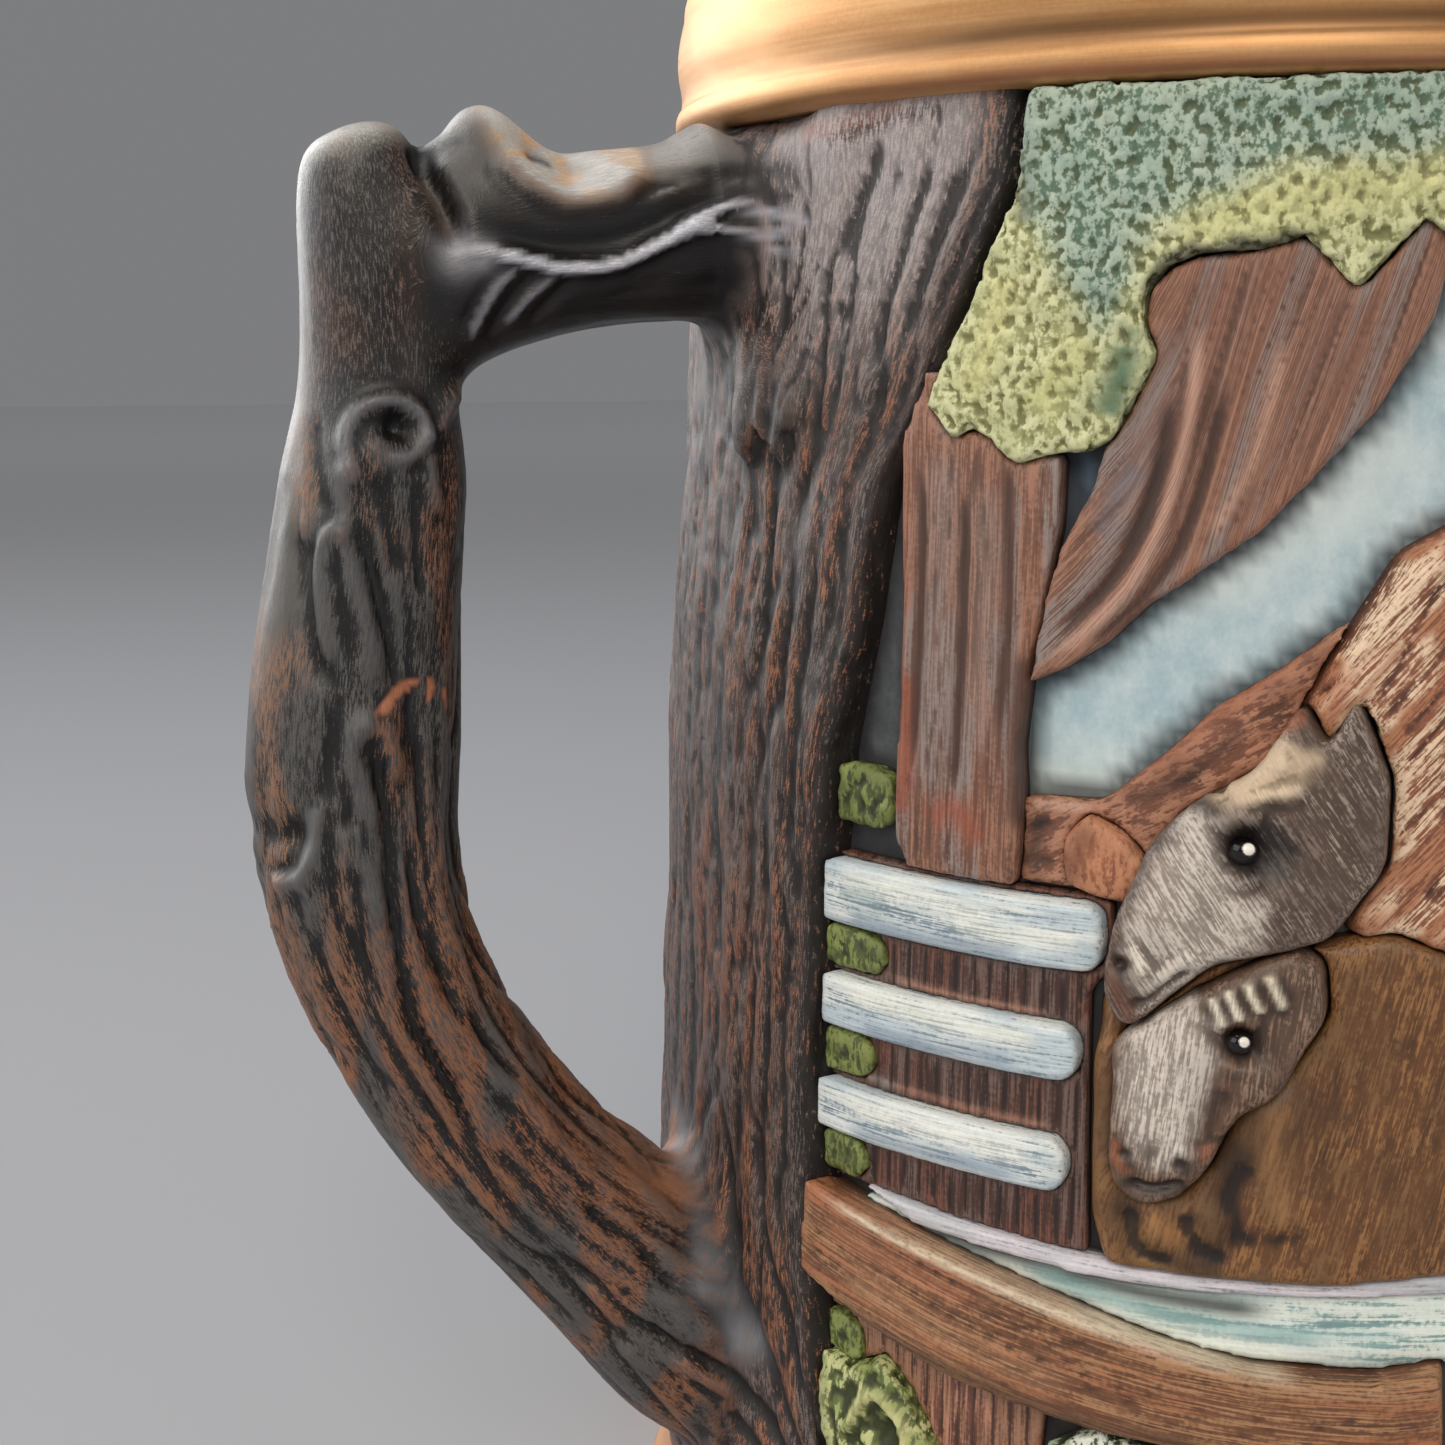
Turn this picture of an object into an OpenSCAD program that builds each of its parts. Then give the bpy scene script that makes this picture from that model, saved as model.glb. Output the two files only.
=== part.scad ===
// Relief beer stein with a handle grown from a tree trunk.
// Z is up, the foot rests on z = 0 about the vessel's axis, and the handle points to -X.

/* [Body] */
// Height of the whole stein
body_h = 162; // [130:1:200]
// Outer radius of the wall where it meets the foot band
wall_r_low = 55; // [46:0.5:66]
// Outer radius of the wall where it meets the rim band
wall_r_high = 52.5; // [44:0.5:64]
// Thickness of the wall
wall_t = 4.5; // [3.5:0.1:6]
// Thickness of the floor
floor_t = 6; // [4:0.5:9]
// Height of the hollow under the floor
recess_h = 2; // [1:0.5:4]
// Width of the ring that the stein stands on
foot_ring_w = 7; // [5:0.5:12]

/* [Bands] */
// Height of the rim band
rim_h = 17; // [12:0.5:22]
// How far the rim band stands out from the wall
rim_rise = 3.6; // [2.5:0.1:5]
// Radius of the bead along the rim band's lower edge
bead_r = 1.1; // [0.7:0.1:1.5]
// Height of the foot band
foot_h = 16; // [10:0.5:22]
// How far the foot band stands out from the wall at its top
foot_rise = 2.2; // [1.5:0.1:4]
// How much further the foot band flares at the base
foot_flare = 2.8; // [1:0.1:5]

/* [Handle] */
// Reach from the wall to the outside of the grip
handle_reach = 43.5; // [38:0.5:52]
// Width of the grip seen from the side
grip_w = 17.5; // [15:0.5:20]
// Thickness of the grip across the hand
grip_d = 16; // [13:0.5:19]
// Radius of the raised ring round the grip's knot
knot_r = 3.7; // [3:0.1:4.5]
// Radius of that ring's own section
knot_lip_r = 1.5; // [1:0.1:2]

/* [Relief] */
// Rise of the tree trunk over the wall
trunk_rise = 3.8; // [2.5:0.1:5]
// Rise of the bark flap over the trunk
flap_rise = 1.4; // [0.8:0.1:2.5]
// Rise of the leaves
leaf_rise = 3.2; // [1.5:0.1:5]
// Rise of the oaks and their boughs
oak_rise = 2.4; // [1.2:0.1:4]
// Rise of the bank, the hill and the grass
ground_rise = 1.2; // [0.8:0.1:3]
// Rise of the fence rails
rail_rise = 2.6; // [1.5:0.1:4]
// Rise of the boards behind the rails
board_rise = 1.4; // [0.8:0.1:2.5]
// Rise of the moss and the bushes
bush_rise = 2.8; // [1.2:0.1:4]
// Rise of the trough's front board
trough_rise = 4; // [2.5:0.1:5.5]
// Rise of the water in the trough
water_rise = 1.2; // [0.6:0.1:2]
// Rise of the animals' bodies
body_rise = 3; // [2:0.1:4]
// Rise of the animals' heads
head_rise = 5; // [3:0.1:6]

/* [Hidden] */
$fn = 96;

panel_h = body_h - rim_h - foot_h;
panel_top = foot_h + panel_h;
far_out = wall_r_low + handle_reach + grip_w;

// Colours
ink_bark = "#2b2422";
copper = "#c68a4e";
clay = "#b9805f";
leaf_dark = "#5d7a5a";
leaf_light = "#9aa05c";
oak_brown = "#6b4334";
whitewash = "#c3ccd0";
board_brown = "#54372c";
moss_green = "#6c7a34";
water_blue = "#b5cfca";
horse_grey = "#8d8177";
horse_brown = "#6e4a2c";
rust = "#8f5138";
blossom = "#cdd3c2";

// Height of a place on the picture panel, from 0 at the foot band to 100 at the rim band
function level(up) = foot_h + panel_h * up / 100;
function wall_r(z) = wall_r_low + (wall_r_high - wall_r_low) * (z - foot_h) / panel_h;

// Rise of the trunk at a level, as a share of trunk_rise, thinner up where the arm leaves it
trunk_swell = [[100, 0.5], [84, 0.55], [72, 0.78], [60, 0.95], [30, 1], [0, 1.1]];
function trunk_r(up) = wall_r(level(up)) + trunk_rise * lookup(up, trunk_swell);

// Smooth curve through points, with n steps from each point to the next
function blend(a, b, c, d, t) =
    (2 * b + (c - a) * t + (2 * a - 5 * b + 4 * c - d) * t * t + (3 * b - a - 3 * c + d) * t * t * t) / 2;
function smooth(p, n) = [
    for (i = [0 : len(p) - 2])
        for (k = [0 : n - 1])
            blend(p[max(i - 1, 0)], p[i], p[i + 1], p[min(i + 2, len(p) - 1)], k / n),
    p[len(p) - 1]
];
function part_of(list, first, last) = [for (i = [first : last]) list[i]];

// Outline points are [degrees round from the handle, percent up the panel], in a sector about the angle mid
function flat_plan(mid, plan) = [
    for (p = plan) [wall_r(level(p[1])) * sin(p[0] - mid), level(p[1])]
];

// Everything outside the axis that lies behind an outline
module behind(mid, plan) {
    rotate([0, 0, mid - 90])
        rotate([90, 0, 0])
            linear_extrude(far_out)
                polygon(flat_plan(mid, plan));
}

// Layer of a given rise on the whole wall of the panel
module layer(rise) {
    rotate_extrude()
        polygon([
            [wall_r_low, foot_h], [wall_r_low + rise, foot_h],
            [wall_r_high + rise, panel_top], [wall_r_high, panel_top]
        ]);
}

// Layer cut to the first child's outline, clear of all the others
module raised(rise) {
    intersection() {
        layer(rise);
        difference() {
            children(0);
            if ($children > 1)
                for (i = [1 : $children - 1])
                    children(i);
        }
    }
}

// Solid of revolution inside the trunk's face, grown by extra
module trunk_core(extra = 0) {
    rotate_extrude()
        polygon([
            for (s = trunk_swell) [trunk_r(s[0]) + extra, level(s[0])],
            [0, foot_h], [0, panel_top]
        ]);
}

/* Body */

module vessel() {
    floor_top = recess_h + floor_t;
    inner_low = wall_r_low - wall_t;
    inner_high = wall_r_high - wall_t;
    lip_r = wall_t / 2;
    ring_inner = wall_r_low - foot_ring_w;
    color(clay)
        rotate_extrude() {
            polygon([
                [0, recess_h], [ring_inner - recess_h, recess_h], [ring_inner, 0], [wall_r_low, 0],
                [wall_r_low, foot_h], [wall_r_high, panel_top], [wall_r_high, body_h - lip_r],
                [inner_high, body_h - lip_r], [inner_high, panel_top], [inner_low, floor_top], [0, floor_top]
            ]);
            translate([wall_r_high - lip_r, body_h - lip_r])
                circle(lip_r);
        }
}

module rim_band() {
    outer = wall_r_high + rim_rise;
    groove = 0.5;
    bead_gap = 2.1;
    face_low = panel_top + 2 * bead_r + bead_gap;
    lean = 0.6;
    shoulder = rim_rise - lean;
    shoulder_z = body_h - wall_t / 2 - shoulder;
    color(copper)
        rotate_extrude()
            difference() {
                union() {
                    translate([wall_r_high, panel_top])
                        square([rim_rise - groove, rim_h - wall_t / 2 - shoulder]);
                    translate([outer - bead_r / 2, panel_top + bead_r])
                        circle(bead_r);
                    translate([outer - bead_r, face_low - bead_r])
                        circle(bead_r * 0.7);
                    polygon([
                        [wall_r_high, face_low], [outer, face_low], [outer - lean, shoulder_z],
                        [wall_r_high, shoulder_z]
                    ]);
                    intersection() {
                        translate([wall_r_high, shoulder_z])
                            circle(shoulder);
                        translate([wall_r_high, shoulder_z])
                            square(shoulder);
                    }
                }
                square([wall_r_high, body_h]);
            }
}

module foot_band() {
    top_r = wall_r_low + foot_rise;
    base_r = top_r + foot_flare;
    edge = 1.2;
    hollow_r = foot_h * 0.9;
    color(copper)
        rotate_extrude()
            difference() {
                polygon([
                    [wall_r_low, 0], [base_r - edge, 0], [base_r, edge], [base_r, foot_h * 0.3],
                    [top_r + foot_flare * 0.4, foot_h * 0.6], [top_r, foot_h - edge],
                    [top_r - edge, foot_h], [wall_r_low, foot_h]
                ]);
                translate([base_r + hollow_r - 0.6, foot_h * 0.55])
                    circle(hollow_r - foot_flare * 0.2);
            }
}

/* Tree and handle */

trunk_plan = [
    [38, 100], [37, 95], [33, 88], [29, 81.5], [26, 77], [24, 68], [21.5, 60], [20.3, 50], [20.3, 36],
    [20.8, 24], [22.5, 15], [26, 6], [30, 0],
    [-30, 0], [-25, 8], [-22, 20], [-21, 40], [-22, 58], [-25, 75], [-28, 88], [-31, 100]
];

module trunk() {
    color(ink_bark)
        intersection() {
            difference() {
                trunk_core();
                rotate_extrude()
                    polygon([[0, foot_h], [wall_r_low, foot_h], [wall_r_high, panel_top], [0, panel_top]]);
            }
            behind(0, trunk_plan);
        }
}

// Stations along a branch: [percent of the reach, percent up the panel, width percent, depth percent]
spine_stations = [
    [74.5, 99.4, 20, 25], [74.2, 98.8, 44, 52], [73.6, 97, 58, 66], [72.7, 93, 66, 74], [71.5, 87.5, 72, 82],
    [71.4, 82, 78, 88], [72.6, 76.4, 92, 96], [76.3, 67.4, 99, 98], [78.9, 57.4, 104, 102],
    [77.2, 49.2, 100, 102], [70.3, 41.9, 94, 100], [59.8, 35.3, 95, 100], [47.1, 28.7, 99, 106],
    [34.9, 24, 104, 116], [21.8, 19.8, 112, 134], [7, 14.7, 122, 160], [-8, 10, 130, 185]
];
steps = 2;
stub_last = 5 * steps;
limb_last = 13 * steps;
spine = smooth(spine_stations, steps);

arm_stations = [
    [68, 89.2, 108, 84], [54, 91.2, 104, 90], [40, 92, 94, 88], [26, 92.4, 86, 90], [11, 92.8, 87, 96],
    [-8, 93, 92, 104]
];
arm = smooth(arm_stations, steps);

ring_sides = 24;
function centre(s) = [-wall_r_low - handle_reach * s[0] / 100, level(s[1])];
function along(path, i) =
    let (d = centre(path[min(i + 1, len(path) - 1)]) - centre(path[max(i - 1, 0)])) d / norm(d);
function ring(path, i) =
    let (c = centre(path[i]), t = along(path, i), w = grip_w * path[i][2] / 200, d = grip_d * path[i][3] / 200)
    [for (k = [0 : ring_sides - 1])
        let (q = 360 * k / ring_sides)
        [c[0] - t[1] * w * cos(q), d * sin(q), c[1] + t[0] * w * cos(q)]];

// Branch through the rings of a path, from one ring to another
module branch(path, first, last) {
    rings = [for (i = [first : last]) ring(path, i)];
    count = len(rings);
    points = [for (r = rings) for (p = r) p];
    sides = [
        for (i = [0 : count - 2])
            for (k = [0 : ring_sides - 1])
                let (a = i * ring_sides + k, b = i * ring_sides + (k + 1) % ring_sides)
                [a, b, b + ring_sides, a + ring_sides]
    ];
    start_cap = [for (k = [ring_sides - 1 : -1 : 0]) k];
    end_cap = [for (k = [0 : ring_sides - 1]) (count - 1) * ring_sides + k];
    polyhedron(points, concat(sides, [start_cap, end_cap]), 4);
}

module handle_stub() {
    color(ink_bark)
        branch(spine, 0, stub_last);
}

module handle_limb() {
    color(ink_bark)
        branch(spine, stub_last, limb_last);
}

module handle_root() {
    color(ink_bark)
        difference() {
            branch(spine, limb_last, len(spine) - 1);
            trunk_core();
        }
}

module handle_arm() {
    color(ink_bark)
        difference() {
            branch(arm, 0, len(arm) - 1);
            branch(spine, 0, limb_last);
            trunk_core();
        }
}

module handle_knob() {
    color(ink_bark)
        difference() {
            hull() {
                translate([-wall_r_low - handle_reach * 0.51, 0, level(96.4)])
                    sphere(grip_w * 0.29, $fn = 32);
                translate([-wall_r_low - handle_reach * 0.4, 0, level(95.4)])
                    sphere(grip_w * 0.24, $fn = 32);
            }
            branch(arm, 0, len(arm) - 1);
            branch(spine, 0, stub_last);
        }
}

module knot_ring() {
    color(ink_bark)
        difference() {
            translate([-wall_r_low - handle_reach * 0.7, -grip_d * 0.43, level(79)])
                rotate([90, 0, 0])
                    rotate_extrude($fn = 32)
                        translate([knot_r, 0])
                            circle(knot_lip_r, $fn = 16);
            branch(spine, 0, limb_last);
        }
}

flap_plan = [[4, 86], [14.5, 86], [15.5, 81], [13, 78], [10, 80], [7.5, 77.5], [5, 81]];

module bark_flap() {
    color(ink_bark)
        intersection() {
            difference() {
                trunk_core(flap_rise);
                trunk_core();
                branch(arm, 0, len(arm) - 1);
            }
            behind(0, flap_plan);
        }
}

/* Picture beside the handle */

near = 42;
canopy_plan = [
    [38, 100], [76, 100], [77, 94], [73, 90.5], [69, 92.5], [64, 88.5], [60, 91.5], [56, 90.7], [52, 90.5],
    [49.6, 89.8], [47.8, 88.4], [47.8, 86.7], [49, 85], [47, 82], [45.7, 80.2], [43.5, 79.4], [40.2, 79.3],
    [37.4, 78.7], [35.3, 80], [33.5, 80.7], [31.8, 80], [29, 82], [33, 88], [37, 95]
];
canopy_parting = [
    [34, 100], [80, 100], [80, 97], [66, 95.5], [58, 95.5], [52, 93], [48, 91.5], [44.5, 86], [41, 88.5], [37.5, 93]
];

module canopy_high() {
    color(leaf_dark)
        raised(leaf_rise) {
            intersection() {
                behind(near, canopy_plan);
                behind(near, canopy_parting);
            }
            behind(0, trunk_plan);
        }
}

module canopy_low() {
    color(leaf_light)
        raised(leaf_rise) {
            behind(near, canopy_plan);
            behind(near, canopy_parting);
            behind(0, trunk_plan);
        }
}

oak_plan = [
    [25.9, 84], [26.2, 76.5], [26.9, 68.5], [26.5, 55], [28.1, 53], [38.6, 53], [39, 58.5], [38.6, 61.5],
    [39.2, 66], [40.3, 71], [41.3, 75], [41.5, 84]
];
bough_plan = [
    [39.2, 65.5], [40.4, 70.7], [41.5, 73.7], [44.3, 77.8], [46, 84], [50, 92], [66, 93], [72, 95], [70, 87],
    [66, 82], [61, 78], [57, 75], [52.8, 72.8], [49.3, 70.9], [45.8, 68.4], [42.3, 66.6]
];

module oak_trunk() {
    color(oak_brown)
        raised(oak_rise) {
            behind(near, oak_plan);
            behind(near, canopy_plan);
            behind(0, trunk_plan);
        }
}

module oak_bough() {
    color(oak_brown)
        raised(oak_rise) {
            behind(near, bough_plan);
            behind(near, oak_plan);
            behind(near, canopy_plan);
        }
}

rail_left = 17;
rail_tip = 1.2;
function rail_plan(low, high, right) = [
    [rail_left, low], [right - rail_tip, low], [right - 0.2, low + 0.8], [right, (low + high) / 2],
    [right - 0.2, high - 0.8], [right - rail_tip, high], [rail_left, high]
];
top_rail_plan = rail_plan(48.2, 52.6, 46.6);
mid_rail_plan = rail_plan(41.2, 44.8, 44.9);
low_rail_plan = rail_plan(34, 37.5, 44.2);

module rail(plan) {
    color(whitewash)
        raised(rail_rise) {
            behind(near, plan);
            behind(0, trunk_plan);
            behind(near, mare_head_plan);
            behind(near, foal_head_plan);
            moss();
        }
}

module rail_top() {
    rail(top_rail_plan);
}

module rail_mid() {
    rail(mid_rail_plan);
}

module rail_low() {
    rail(low_rail_plan);
}

// Moss grows on the trunk's edge in the gaps between the rails, and below the trough
moss_left = 17;
moss_places = [[55, 59, 26.5], [45.2, 48, 26], [38, 41, 25], [31, 33.8, 24.5], [17.6, 21.2, 24.5]];

module moss() {
    for (m = moss_places)
        behind(near, [
            [moss_left, m[0]], [m[2] - 1.5, m[0]], [m[2], m[0] + 1], [m[2] - 0.4, m[1] - 0.6],
            [m[2] - 2, m[1]], [moss_left, m[1]]
        ]);
}

module moss_tufts() {
    color(moss_green)
        raised(board_rise + 0.6) {
            moss();
            behind(0, trunk_plan);
            behind(near, oak_plan);
            behind(near, ivy_plan);
        }
}

boards_plan = [[17, 53], [46.8, 53], [47.5, 48], [47, 29.6], [17, 31]];

module fence_boards() {
    color(board_brown)
        raised(board_rise) {
            behind(near, boards_plan);
            behind(0, trunk_plan);
            behind(near, oak_plan);
            behind(near, top_rail_plan);
            behind(near, mid_rail_plan);
            behind(near, low_rail_plan);
            moss();
            behind(near, mare_head_plan);
            behind(near, foal_head_plan);
            behind(near, foal_chest_plan);
            trough_parts();
            behind(near, ear_plan);
            behind(near, bank_plan);
        }
}

bank_plan = [
    [38.7, 53.2], [39, 58.6], [45.7, 58.8], [51, 62.2], [54.4, 64.8], [60, 67.5], [66, 71], [66, 60], [49, 53.2]
];
ear_plan = [[43, 53.6], [42.6, 56.4], [44.6, 58], [47.6, 57], [50.4, 54.8], [49.2, 52.6], [45.5, 52.9]];

module bank() {
    color(rust)
        raised(ground_rise) {
            behind(near, bank_plan);
            behind(near, oak_plan);
            behind(near, ear_plan);
            behind(near, mare_head_plan);
            behind(right_side, mare_neck_plan);
        }
}

module ear_stone() {
    color(rust)
        raised(oak_rise) {
            behind(near, ear_plan);
            behind(near, mare_head_plan);
            behind(near, oak_plan);
            behind(near, top_rail_plan);
        }
}

// The trough runs on to the right past the animals
trough_plan = [
    [17, 30.5], [21.3, 30], [29, 29.1], [36, 28.2], [44, 27], [52, 25.5], [60, 24.5], [70, 24.3], [76, 25],
    [76.5, 19.6], [66, 19], [54, 19.2], [46.6, 19.5], [41, 20], [34, 20.6], [27.7, 21.8], [22, 22.8], [17, 24]
];
trough_back_plan = [[24, 30.9], [36, 30.4], [50, 30], [66, 30], [78, 31], [78, 29.4], [50, 28.8], [30, 29.4]];
water_plan = [[24, 30], [78, 30], [77, 24], [24, 24]];

module trough_parts() {
    behind(near, trough_plan);
    behind(near, trough_back_plan);
    behind(near, water_plan);
}

module trough_front() {
    color(board_brown)
        raised(trough_rise) {
            behind(near, trough_plan);
            behind(0, trunk_plan);
        }
}

module trough_back() {
    color(whitewash)
        raised(board_rise + 0.6) {
            behind(near, trough_back_plan);
            behind(near, trough_plan);
            behind(0, trunk_plan);
        }
}

module trough_water() {
    color(water_blue)
        raised(water_rise) {
            behind(near, water_plan);
            behind(near, trough_plan);
            behind(near, trough_back_plan);
            behind(0, trunk_plan);
        }
}

ivy_plan = [
    [20, 18.4], [23.9, 18], [27.1, 19.4], [30.2, 17.4], [33, 14.2], [34.5, 9], [33, 4], [35, 0], [22, 0], [20, 8]
];

module ivy_clump() {
    color(moss_green)
        raised(bush_rise) {
            behind(near, ivy_plan);
            behind(0, trunk_plan);
            behind(near, trough_plan);
        }
}

ground_boards_plan = [[20, 22], [43, 20.5], [42, 12], [44, 6], [42, 0], [24, 0]];

module ground_boards() {
    color(rust)
        raised(board_rise) {
            behind(near, ground_boards_plan);
            behind(near, trough_plan);
            behind(near, ivy_plan);
            behind(0, trunk_plan);
            moss();
        }
}

blossom_plan = [
    [42.5, 0], [44, 6], [42, 12], [43.5, 17], [48, 19], [54, 17.5], [60, 18.6], [66, 17], [72, 18], [76, 12],
    [75, 5], [77, 0]
];

module blossom_bush() {
    color(blossom)
        raised(bush_rise) {
            behind(near, blossom_plan);
            behind(near, trough_plan);
            behind(near, ground_boards_plan);
        }
}

/* Animals at the trough */

right_side = 92;
mare_head_plan = [
    [52.6, 58.7], [50.5, 57], [49.2, 54.4], [48, 52.2], [47.4, 49.8], [47.3, 47.8], [48.2, 46.2], [49.6, 45.7],
    [51.4, 46.9], [55.8, 50], [60, 50.8], [65, 52], [69, 56], [69, 61], [66, 66], [64, 63], [61.5, 65.5],
    [58.5, 61.5]
];
foal_head_plan = [
    [48.1, 45], [48.5, 41.8], [48.4, 38], [48.6, 36], [51, 34.8], [54, 35.4], [56.2, 37.4], [58.5, 41], [62, 43.5],
    [65, 47], [64.5, 50.5], [62, 51.3], [60, 50.6], [54, 48], [50.3, 45.9]
];
foal_chest_plan = [
    [45.3, 47], [47.3, 48.5], [56, 50.4], [68, 52], [80, 48.5], [92, 47.5], [100, 44], [102, 36], [99, 29.5], [78, 29],
    [52, 28], [46, 29.4], [45.6, 36]
];
foal_leg_plan = [[95, 33], [101, 37], [98.5, 24], [98, 8], [101, 4], [94.5, 4], [95, 22]];
mare_neck_plan = [
    [57, 60.4], [62, 68], [67, 74], [72, 76], [79, 72.5], [86, 68], [89, 60], [88, 48], [78, 48], [66, 50]
];
mare_body_plan = [
    [85, 68.5], [94, 65.5], [104, 66.5], [113, 64], [118, 57], [119, 46], [115, 37], [115, 24], [113.5, 10],
    [116, 4], [109, 4], [110, 22], [107, 34], [98, 38], [86, 42]
];

module mare_head() {
    color(horse_grey)
        raised(head_rise) {
            behind(near, mare_head_plan);
            behind(near, foal_head_plan);
        }
}

module foal_head() {
    color(horse_grey)
        raised(head_rise)
            behind(near, foal_head_plan);
}

module foal_body() {
    color(horse_brown)
        raised(body_rise) {
            union() {
                behind(75, foal_chest_plan);
                behind(right_side, foal_leg_plan);
            }
            behind(near, foal_head_plan);
            behind(near, mare_head_plan);
            behind(near, top_rail_plan);
            behind(near, mid_rail_plan);
            behind(near, low_rail_plan);
            trough_parts();
            behind(near, ear_plan);
        }
}

module mare_neck() {
    color(horse_brown)
        raised(body_rise) {
            behind(right_side, mare_neck_plan);
            behind(near, mare_head_plan);
            behind(near, foal_head_plan);
            behind(75, foal_chest_plan);
            behind(near, canopy_plan);
            behind(near, bough_plan);
        }
}

module mare_body() {
    color(horse_brown)
        raised(body_rise) {
            behind(right_side, mare_body_plan);
            behind(right_side, mare_neck_plan);
            behind(75, foal_chest_plan);
            behind(right_side, foal_leg_plan);
        }
}

/* Picture round the rest of the wall */

back_right = 145;
back_left = 215;
left_side = 300;

canopy_right_plan = [
    [110, 100], [172, 100], [176, 95], [171, 89], [165, 91], [160, 84], [152, 86], [147, 78], [139, 80],
    [134, 76], [127, 80], [121, 79], [118, 85], [112, 86], [109, 93]
];
canopy_left_plan = [
    [262, 100], [326, 100], [324, 94], [327, 88], [321, 84], [316, 77], [309, 79], [303, 75], [296, 80],
    [288, 78], [283, 84], [276, 83], [272, 90], [264, 91]
];
oak_right_plan = [
    [133, 84], [135, 70], [134, 52], [132, 38], [128, 30], [150, 30], [146, 40], [144, 54], [145, 68], [149, 84]
];
oak_left_plan = [
    [296, 84], [299, 68], [300, 50], [298, 36], [294, 26], [316, 26], [313, 38], [311, 52], [312, 68], [314, 84]
];
hill_plan = [
    [153, 36], [155, 42], [164, 48], [176, 51], [188, 50], [202, 45], [214, 42], [228, 44], [230, 36]
];
grazing_horse_plan = [
    [168.5, 50], [169, 46.5], [171.5, 45.5], [175, 50], [178, 54], [180, 53], [180.5, 46], [183, 46],
    [183.5, 54], [188, 55.5], [196, 54.5], [197, 50], [196.8, 45.5], [199.5, 45.5], [200, 51], [202, 56],
    [204, 49], [206, 52], [205.5, 59], [202, 63.5], [196, 64.5], [188, 63], [182, 65], [176, 61], [171, 55]
];
post_places = [162, 184, 206, 228, 250, 272];
post_w = 4;
bush_right_plan = [
    [119, 0], [119, 20], [122, 27], [127, 29], [131, 25], [136, 29], [142, 26], [146, 19], [150, 14], [151, 0]
];
bush_left_plan = [
    [283, 0], [281, 10], [285, 20], [291, 25], [297, 22], [303, 26], [310, 22], [317, 25], [323, 17], [326, 8],
    [325, 0]
];

module canopy_right() {
    color(leaf_dark)
        raised(leaf_rise)
            behind(back_right, canopy_right_plan);
}

module canopy_left() {
    color(leaf_dark)
        raised(leaf_rise) {
            behind(left_side, canopy_left_plan);
            behind(0, trunk_plan);
        }
}

module oak_right() {
    color(oak_brown)
        raised(oak_rise) {
            behind(back_right, oak_right_plan);
            behind(back_right, canopy_right_plan);
            behind(back_right, bush_right_plan);
        }
}

module oak_left() {
    color(oak_brown)
        raised(oak_rise) {
            behind(left_side, oak_left_plan);
            behind(left_side, canopy_left_plan);
            behind(left_side, bush_left_plan);
        }
}

module hill() {
    color(moss_green)
        raised(ground_rise) {
            behind(190, hill_plan);
            behind(188, grazing_horse_plan);
        }
}

module grazing_horse() {
    color(horse_brown)
        raised(body_rise)
            behind(188, grazing_horse_plan);
}

// Fence across the pasture at the back: two rails in short straight lengths between the posts
module post(p) {
    behind(p, [
        [p - post_w / 2, 12], [p + post_w / 2, 12], [p + post_w / 2, 33.5], [p, 35.6], [p - post_w / 2, 33.5]
    ]);
}

module pasture_rail(low, high) {
    color(whitewash)
        for (i = [0 : len(post_places) - 2])
            let (from = post_places[i], to = post_places[i + 1])
            raised(board_rise) {
                behind((from + to) / 2, [[from, low], [to, low], [to, high], [from, high]]);
                post(from);
                post(to);
            }
}

module pasture_posts() {
    color(board_brown)
        for (p = post_places)
            raised(rail_rise)
                post(p);
}

module pasture_rail_top() {
    pasture_rail(27, 30.5);
}

module pasture_rail_low() {
    pasture_rail(17.5, 21);
}

module bush_right() {
    color(moss_green)
        raised(bush_rise)
            behind(back_right, bush_right_plan);
}

module bush_left() {
    color(moss_green)
        raised(bush_rise) {
            behind(left_side, bush_left_plan);
            behind(0, trunk_plan);
        }
}

grass_right_plan = [[151, 0], [150.5, 13], [168, 9], [187, 13], [187, 0]];
grass_left_plan = [[189, 0], [189, 12.6], [208, 8], [222, 12], [222, 0]];

module grass_right() {
    color(leaf_light)
        raised(ground_rise) {
            behind(170, grass_right_plan);
            behind(back_right, bush_right_plan);
            post(post_places[0]);
            post(post_places[1]);
        }
}

module grass_left() {
    color(leaf_light)
        raised(ground_rise) {
            behind(205, grass_left_plan);
            post(post_places[2]);
        }
}

vessel();
rim_band();
foot_band();
trunk();
handle_arm();
handle_stub();
handle_knob();
handle_limb();
handle_root();
knot_ring();
bark_flap();
canopy_high();
canopy_low();
oak_trunk();
oak_bough();
bank();
ear_stone();
rail_top();
rail_mid();
rail_low();
fence_boards();
moss_tufts();
trough_front();
trough_back();
trough_water();
ivy_clump();
ground_boards();
blossom_bush();
mare_head();
mare_neck();
mare_body();
foal_head();
foal_body();
canopy_right();
canopy_left();
oak_right();
oak_left();
hill();
grazing_horse();
pasture_rail_top();
pasture_rail_low();
pasture_posts();
bush_right();
bush_left();
grass_right();
grass_left();
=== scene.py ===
import math
import bpy
import bmesh
import numpy as np
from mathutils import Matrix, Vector
from mathutils.kdtree import KDTree


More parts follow.
